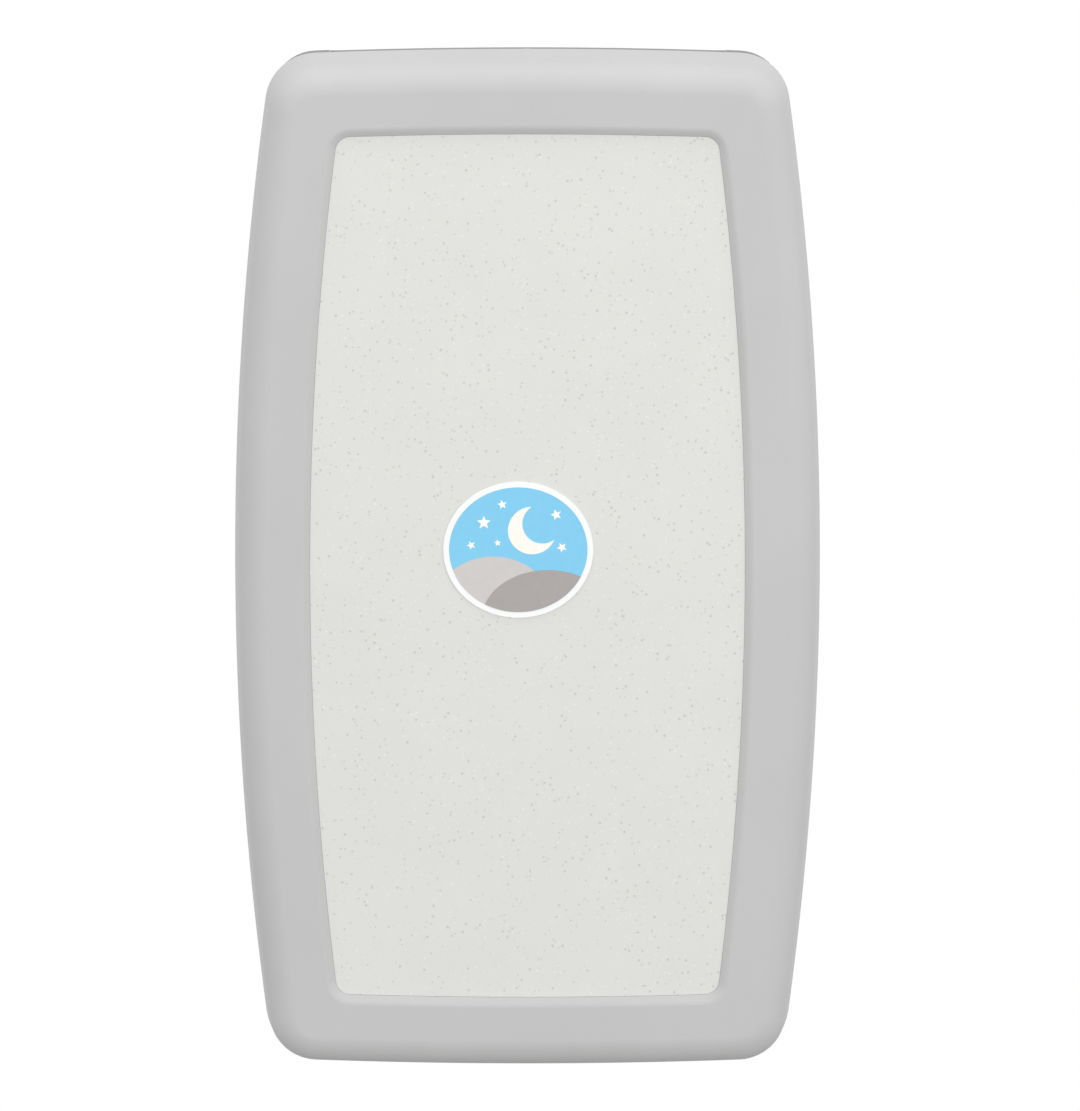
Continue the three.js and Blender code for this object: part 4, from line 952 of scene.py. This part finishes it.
def makeStrut():
    first, last, wide, shaft = (strutForm[word] for word in ("start", "end", "cylinder", "rod"))
    inner = last - strutForm["insertion"]
    bore = shaft + clearance
    profile = [strutForm["stem"]] + [(first + far, wide - drop) for far, drop in strutForm["collar"]]
    profile += [(last - far, wide - drop) for far, drop in strutForm["neck"]]
    profile += [(last, bore + 0.001), (last - 0.0008, bore), (inner - strutForm["boreSpare"], bore)]
    cylinder = turned("strut_cylinder_drawn", strutSpot(0), strutSpot(1), profile)
    shadeByAngle(cylinder)
    standIn(eyed(cylinder, 0, strutForm["topEye"]), "strut_cylinder", angle=40)
    profile = [(inner, shaft - 0.0005), (inner + 0.0005, shaft)]
    profile += [(strutLength - far, shaft - drop) for far, drop in strutForm["groove"]]
    ground = turned("strut_rod_ground", strutSpot(0), strutSpot(1), profile)
    standIn(eyed(ground, strutLength, strutForm["footEye"]), "strut_rod", angle=40)


makeStrut()
print("strut made")

# Straps and hooks are strips drawn along a rounded path
ribbonForm = dict(bendSteps=6, bendShare=0.45)


def roundedPath(points, bend):
    # each inner corner becomes a short arc
    path = [points[0]]
    for before, corner, after in zip(points, points[1:], points[2:]):
        back, ahead = before - corner, after - corner
        reach = min(bend, back.length * ribbonForm["bendShare"], ahead.length * ribbonForm["bendShare"])
        first, last = corner + back.normalized() * reach, corner + ahead.normalized() * reach
        for i in range(ribbonForm["bendSteps"] + 1):
            t = i / ribbonForm["bendSteps"]
            path.append(first * (1 - t) ** 2 + corner * 2 * t * (1 - t) + last * t * t)
    return path + [points[-1]]


def ribbon(name, path, across, thickness):
    # a plane whose far edge is extruded from point to point, with its map in metres
    piece = fresh(name, bpy.ops.mesh.primitive_plane_add, size=1)
    half = across / 2
    picked(piece, "EDGE", lambda edge: {corner.index for corner in edge.verts} == {2, 3})
    mesh = bmesh.from_edit_mesh(piece.data)
    mesh.verts.ensure_lookup_table()
    for i, spot in enumerate((path[0] - half, path[0] + half, path[1] - half, path[1] + half)):
        mesh.verts[i].co = spot
    bmesh.update_edit_mesh(piece.data)
    for before, after in zip(path[1:], path[2:]):
        bpy.ops.mesh.extrude_region_move(TRANSFORM_OT_translate={"value": after - before})
    mesh = bmesh.from_edit_mesh(piece.data)
    mesh.verts.ensure_lookup_table()
    along = [0.0]
    for before, after in zip(path, path[1:]):
        along.append(along[-1] + (after - before).length)
    chart = mesh.loops.layers.uv.verify()
    for face in mesh.faces:
        for loop in face.loops:
            step = loop.vert.index // 2
            loop[chart].uv = (along[step], (loop.vert.co - path[step]).dot(across.normalized()))
    bmesh.update_edit_mesh(piece.data)
    bpy.ops.object.mode_set(mode="OBJECT")
    return thickened(piece, thickness, 0)


def strapPoint(x, u):
    return place(x, u, strapForm["z"])


def wrapped(x, u, radius, side):
    # a turn round an anchor bar, up to where the strap leaves it; angles from the side towards the wall
    spots = []
    for i in range(strapForm["wrapSteps"]):
        angle = math.radians(strapForm["wrap"] - strapForm["wrap"] * i / strapForm["wrapSteps"])
        spots.append(strapPoint(x + side * radius * math.sin(angle), u - radius * math.cos(angle)))
    return spots


buckleForm = dict(x=0.025, half=0.028, barX=0.047, barRadius=0.0022, camRadius=0.007, soft=0.0005,
                  groove=0.0008, gripStart=(-0.0085, 0.0615), gripStep=(0.0036, -0.0004), gripCount=5)
anchorX, anchorU, _ = middleOf("strap_anchor_right")
camX, camY, _ = jointOf["buckle_release"]["pos_m"]


def makeStrap(word, path):
    across = Vector((0, 0, strapForm["width"]))
    piece = ribbon(f"strap_{word}_webbing", path, across, strapForm["thickness"])
    standIn(softEdges(piece, strapForm["soft"], 60, 2), "strap_" + word, angle=45)


def makeStraps():
    half = strapForm["thickness"] / 2
    lift, bend, steps = strapForm["lift"], strapForm["bend"], strapForm["wrapSteps"]
    loop = anchorU - slotU
    floorU = trayFloor - lift
    run = [(anchorX, slotU), (slotX - lift, slotU)]
    for step in (0.75, 1.0):
        x, u = slopeSpot(step, strapForm["z"])
        run.append((x - lift, u - lift))
    barX, bar = buckleForm["barX"], buckleForm["barRadius"]
    barLoop = bar + clearance + half
    barU = floorU - barLoop
    tailHigh = barU - bar - 2 * clearance - 3 * half
    tailLow = floorU - 2 * half - 2 * clearance
    channel = -camY + buckleForm["camRadius"] + clearance + half
    # short side: round its anchor, out of the slot, down the slope and round the buckle's bar
    short = wrapped(anchorX, anchorU, loop, 1)
    short += roundedPath([strapPoint(*spot) for spot in run + [(barX, floorU)]], bend)
    for i in range(1, steps + 1):
        angle = math.radians(strapForm["wrap"] * i / steps)
        short.append(strapPoint(barX - barLoop * math.sin(angle), barU + barLoop * math.cos(angle)))
    makeStrap("short", short)
    # long side: through the buckle under the cam, over the bar, and a tail with a folded hem
    edge = buckleForm["x"] - buckleForm["half"]
    fold = half + strapForm["foldGap"]
    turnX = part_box("strap_long")[1].x - fold - half
    route = [(-x, u) for x, u in run]
    route += [(edge - 0.010, floorU), (edge - 0.001, channel),
              (camX + buckleForm["camRadius"] + 0.003, channel),
              (barX - bar - 2 * half - 0.002, tailHigh), (barX + bar + 2 * half, tailHigh),
              (barX + bar + 0.012, tailLow), (turnX, tailLow)]
    path = wrapped(-anchorX, anchorU, loop, -1) + roundedPath([strapPoint(*spot) for spot in route], bend)
    for i in range(1, strapForm["foldSteps"] + 1):
        angle = math.pi * i / strapForm["foldSteps"]
        path.append(strapPoint(turnX + fold * math.sin(angle), tailLow - fold * (1 - math.cos(angle))))
    makeStrap("long", path + [strapPoint(turnX - strapForm["hem"], tailLow - 2 * fold)])
    makeStitches(turnX, tailLow - 2 * fold - half)


stitchForm = dict(length=0.0022, thread=0.00028, tip=0.0001, taper=0.0003, count=11, margin=0.003, sides=8,
                  rows=(0.004, 0.008, strapForm["hem"] - 0.004))
threadFinish = tinted("pale_thread", tone(150, 153, 158), charcoalLook)


def makeStitches(x, u):
    # rows of thread across the hem; one stitch is modelled and copied, and all are joined
    long, thread, tip, taper, count, margin = (stitchForm[word] for word in (
        "length", "thread", "tip", "taper", "count", "margin"))
    first = turned("stitch", (0, 0, 0), (0, 0, 1),
                   [(0, tip), (taper, thread), (long - taper, thread), (long, tip)], stitchForm["sides"])
    low = strapForm["z"] - strapForm["width"] / 2 + margin
    pitch = (strapForm["width"] - 2 * margin - long) / (count - 1)
    pieces = []
    for row in stitchForm["rows"]:
        for i in range(count):
            pieces.append(linked("stitch", first.data.copy()))
            pieces[-1].data.transform(Matrix.Translation(place(x - row, u, low + i * pitch)))
    bpy.data.objects.remove(first)
    activate(pieces[0])
    for piece in pieces:
        piece.select_set(True)
    bpy.ops.object.join()
    pieces[0].name = "strap_tail_stitches"
    taken(pieces[0], "bed", "webbing", threadFinish)


makeStraps()
print("straps made")


# Buckle: frame with broken edges, lever with a ribbed grip
def makeBuckle():
    softCopy("buckle_frame", buckleForm["soft"])
    low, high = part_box("buckle_lever")
    (x, u), (stepX, stepU) = buckleForm["gripStart"], buckleForm["gripStep"]
    tools = [rod(buckleForm["groove"], (x + stepX * i, u + stepU * i, low.z - over),
                 (x + stepX * i, u + stepU * i, high.z + over), 16) for i in range(buckleForm["gripCount"])]
    softCopy("buckle_lever", buckleForm["soft"], tools)


makeBuckle()

# Bag hooks: rounded plate, J-shaped strip and two rivets each
hookForm = dict(plate=0.0028, strip=0.004, width=0.010, corner=0.005, cornerSteps=8, bend=0.004, soft=0.0009,
                path=((0.0010, -0.0050), (0.0066, -0.0120), (0.0132, -0.0138), (0.0187, -0.0092),
                      (0.0220, 0.0)),
                rivetZ=0.017, rivet=((0, 0.0015), (0.001, 0.0015), (0.001, 0.0031), (0.0013, 0.0033),
                                     (0.0017, 0.0028), (0.0020, 0.0016)))


def makeHook(hand):
    node = "bag_hook_" + hand
    low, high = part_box(node)
    x, _, z = middleOf(node)
    seat = -high.y
    top = seat + hookForm["plate"]
    plate = block((low.x, high.x), (seat, top), (low.z, high.z), node + "_moulding")
    picked(plate, "EDGE", lambda edge: abs(edge.verts[0].co.y - edge.verts[1].co.y) > 0.001)
    bpy.ops.mesh.bevel(offset=hookForm["corner"], segments=hookForm["cornerSteps"])
    bpy.ops.object.mode_set(mode="OBJECT")
    path = roundedPath([place(x, seat + u, z + rise) for u, rise in hookForm["path"]], hookForm["bend"])
    strip = ribbon("strip", path, Vector((hookForm["width"], 0, 0)), hookForm["strip"])
    softEdges(strip, hookForm["soft"], 50)
    softEdges(plate, hookForm["soft"], 35)
    standIn(carved(plate, [strip], "UNION"), node, angle=40)
    for i, way in enumerate((-1, 1), 1):
        spot = z + way * hookForm["rivetZ"]
        rivet = turned(f"{node}_rivet_{i}", (x, top - over, spot), (x, top + over, spot),
                       hookForm["rivet"], 32)
        taken(rivet, "back", "zinc_steel")


for hand in hands:
    makeHook(hand)
print("buckle and hooks made")

# Rubber: domed bumpers and grooved stop pads; the bumper's profile is in shares of its height
rubberForm = dict(foot=((0, 0.0066), (0.0002, 0.007)),
                  dome=((0.5, 0.007), (0.85, 0.0064), (1, 0.005), (1, 0.002)),
                  dimple=(0.0003, 0.0016), groove=0.0006, grooves=(0.25, 0.5, 0.75), padEdge=0.00015)


def makeRubber():
    for node in [f"bumper_{level}_{hand}" for level in ("lower", "upper") for hand in hands]:
        start, end = ends(node, 1)
        tall = abs(end[1] - start[1])
        profile = list(rubberForm["foot"]) + [(tall * share, radius) for share, radius in rubberForm["dome"]]
        profile.append((tall - rubberForm["dimple"][0], rubberForm["dimple"][1]))
        standIn(turned(node + "_moulding", end, start, profile), node)
    for hand in hands:
        node = "stop_pad_" + hand
        low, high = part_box(node)
        levels = [low.z + (high.z - low.z) * share for share in rubberForm["grooves"]]
        tools = [rod(rubberForm["groove"], (low.x - over, -low.y, z), (high.x + over, -low.y, z), 16)
                 for z in levels]
        softCopy(node, rubberForm["padEdge"], tools)


makeRubber()
print("rubber made")

# Floor, light and camera; lights are (name, place, aim, size, watts)
stageForm = dict(floorMiddle=(0, -2.5, -1.25), floorSize=7.2,
                 floor=(tone(158, 158, 157), tone(168, 168, 167)),
                 floorWhite=0.7, ambient=0.875, frameHeight=0.9686, distance=40.0, elevation=10.8,
                 aim=(0.0109, -0.05, 0.0008), sensor=36,
                 lights=(("top_softbox", (0.3, -0.6, 3.2), (0, 0, 0.2), (2.4, 1.4), 25),
                         ("front_fill", (0, -4.0, -0.6), (0, 0, -0.1), (3.0, 3.0), 46),
                         ("right_fill", (3.0, -2.5, 0.4), (0, 0, 0), (2.0, 2.0), 14)))
white = (1, 1, 1, 1)


def whiteToCamera(material, output, lit, plain, share=1.0):
    # the camera, and mirrors and glass, see plain white where nothing stands
    rays = addNode(material, "LightPath").outputs
    seen = rays["Is Camera Ray"]
    for name in ("Is Glossy Ray", "Is Transmission Ray"):
        seen = maths(material, "MAXIMUM", seen, rays[name])
    part = maths(material, "MULTIPLY", seen, share)
    mix = addNode(material, "MixShader", {"Fac": part, 1: lit, 2: plain})
    feed(material, output, {"Surface": mix.outputs["Shader"]})


def makeWorld():
    world = bpy.data.worlds.new("studio")
    world.use_nodes = True
    bpy.context.scene.world = world
    world.node_tree.nodes.clear()
    lit, plain = (addNode(world, "Background", {"Color": white, "Strength": strength}).outputs["Background"]
                  for strength in (stageForm["ambient"], 1.0))
    whiteToCamera(world, addNode(world, "OutputWorld"), lit, plain)


def makeFloor():
    floor = fresh("studio_floor", bpy.ops.mesh.primitive_plane_add, size=stageForm["floorSize"],
                  location=stageForm["floorMiddle"])
    material, shader, spot = newFinish("pale_floor", 0.7)
    cloud = noise(material, spot, 3, 2)
    feed(material, shader, {"Base Color": ramp(material, cloud, *zip((0.3, 0.7), stageForm["floor"]))})
    glow = addNode(material, "Emission", {"Color": white, "Strength": 1.0})
    whiteToCamera(material, material.node_tree.nodes["Material Output"], shader.outputs["BSDF"],
                  glow.outputs["Emission"], stageForm["floorWhite"])
    painted(floor, material)


def softbox(name, location, aim, size, power):
    light = bpy.data.lights.new(name, "AREA")
    light.shape = "RECTANGLE"
    light.size, light.size_y = size
    light.energy = power
    lamp = linked(name, light)
    lamp.location = location
    lamp.rotation_euler = (Vector(aim) - Vector(location)).to_track_quat("-Z", "Y").to_euler()


def makeCamera():
    camera = linked("camera", bpy.data.cameras.new("camera"))
    tilt = math.radians(stageForm["elevation"])
    away = Vector((0, -math.cos(tilt), math.sin(tilt)))
    camera.location = Vector(stageForm["aim"]) + away * stageForm["distance"]
    camera.rotation_euler = (-away).to_track_quat("-Z", "Y").to_euler()
    camera.data.sensor_width = stageForm["sensor"]
    camera.data.lens = stageForm["sensor"] * stageForm["distance"] / stageForm["frameHeight"]
    camera.data.clip_end = 100
    bpy.context.scene.camera = camera


makeWorld()
makeFloor()
for light in stageForm["lights"]:
    softbox(*light)
makeCamera()
bpy.context.scene.view_settings.view_transform = "Standard"
print("stage, light and camera made")

# CAD pieces that keep their own shape take their finish by slot
for node, item in nodes.items():
    if node not in standing:
        painted(item, finishes[slotOf[node]])
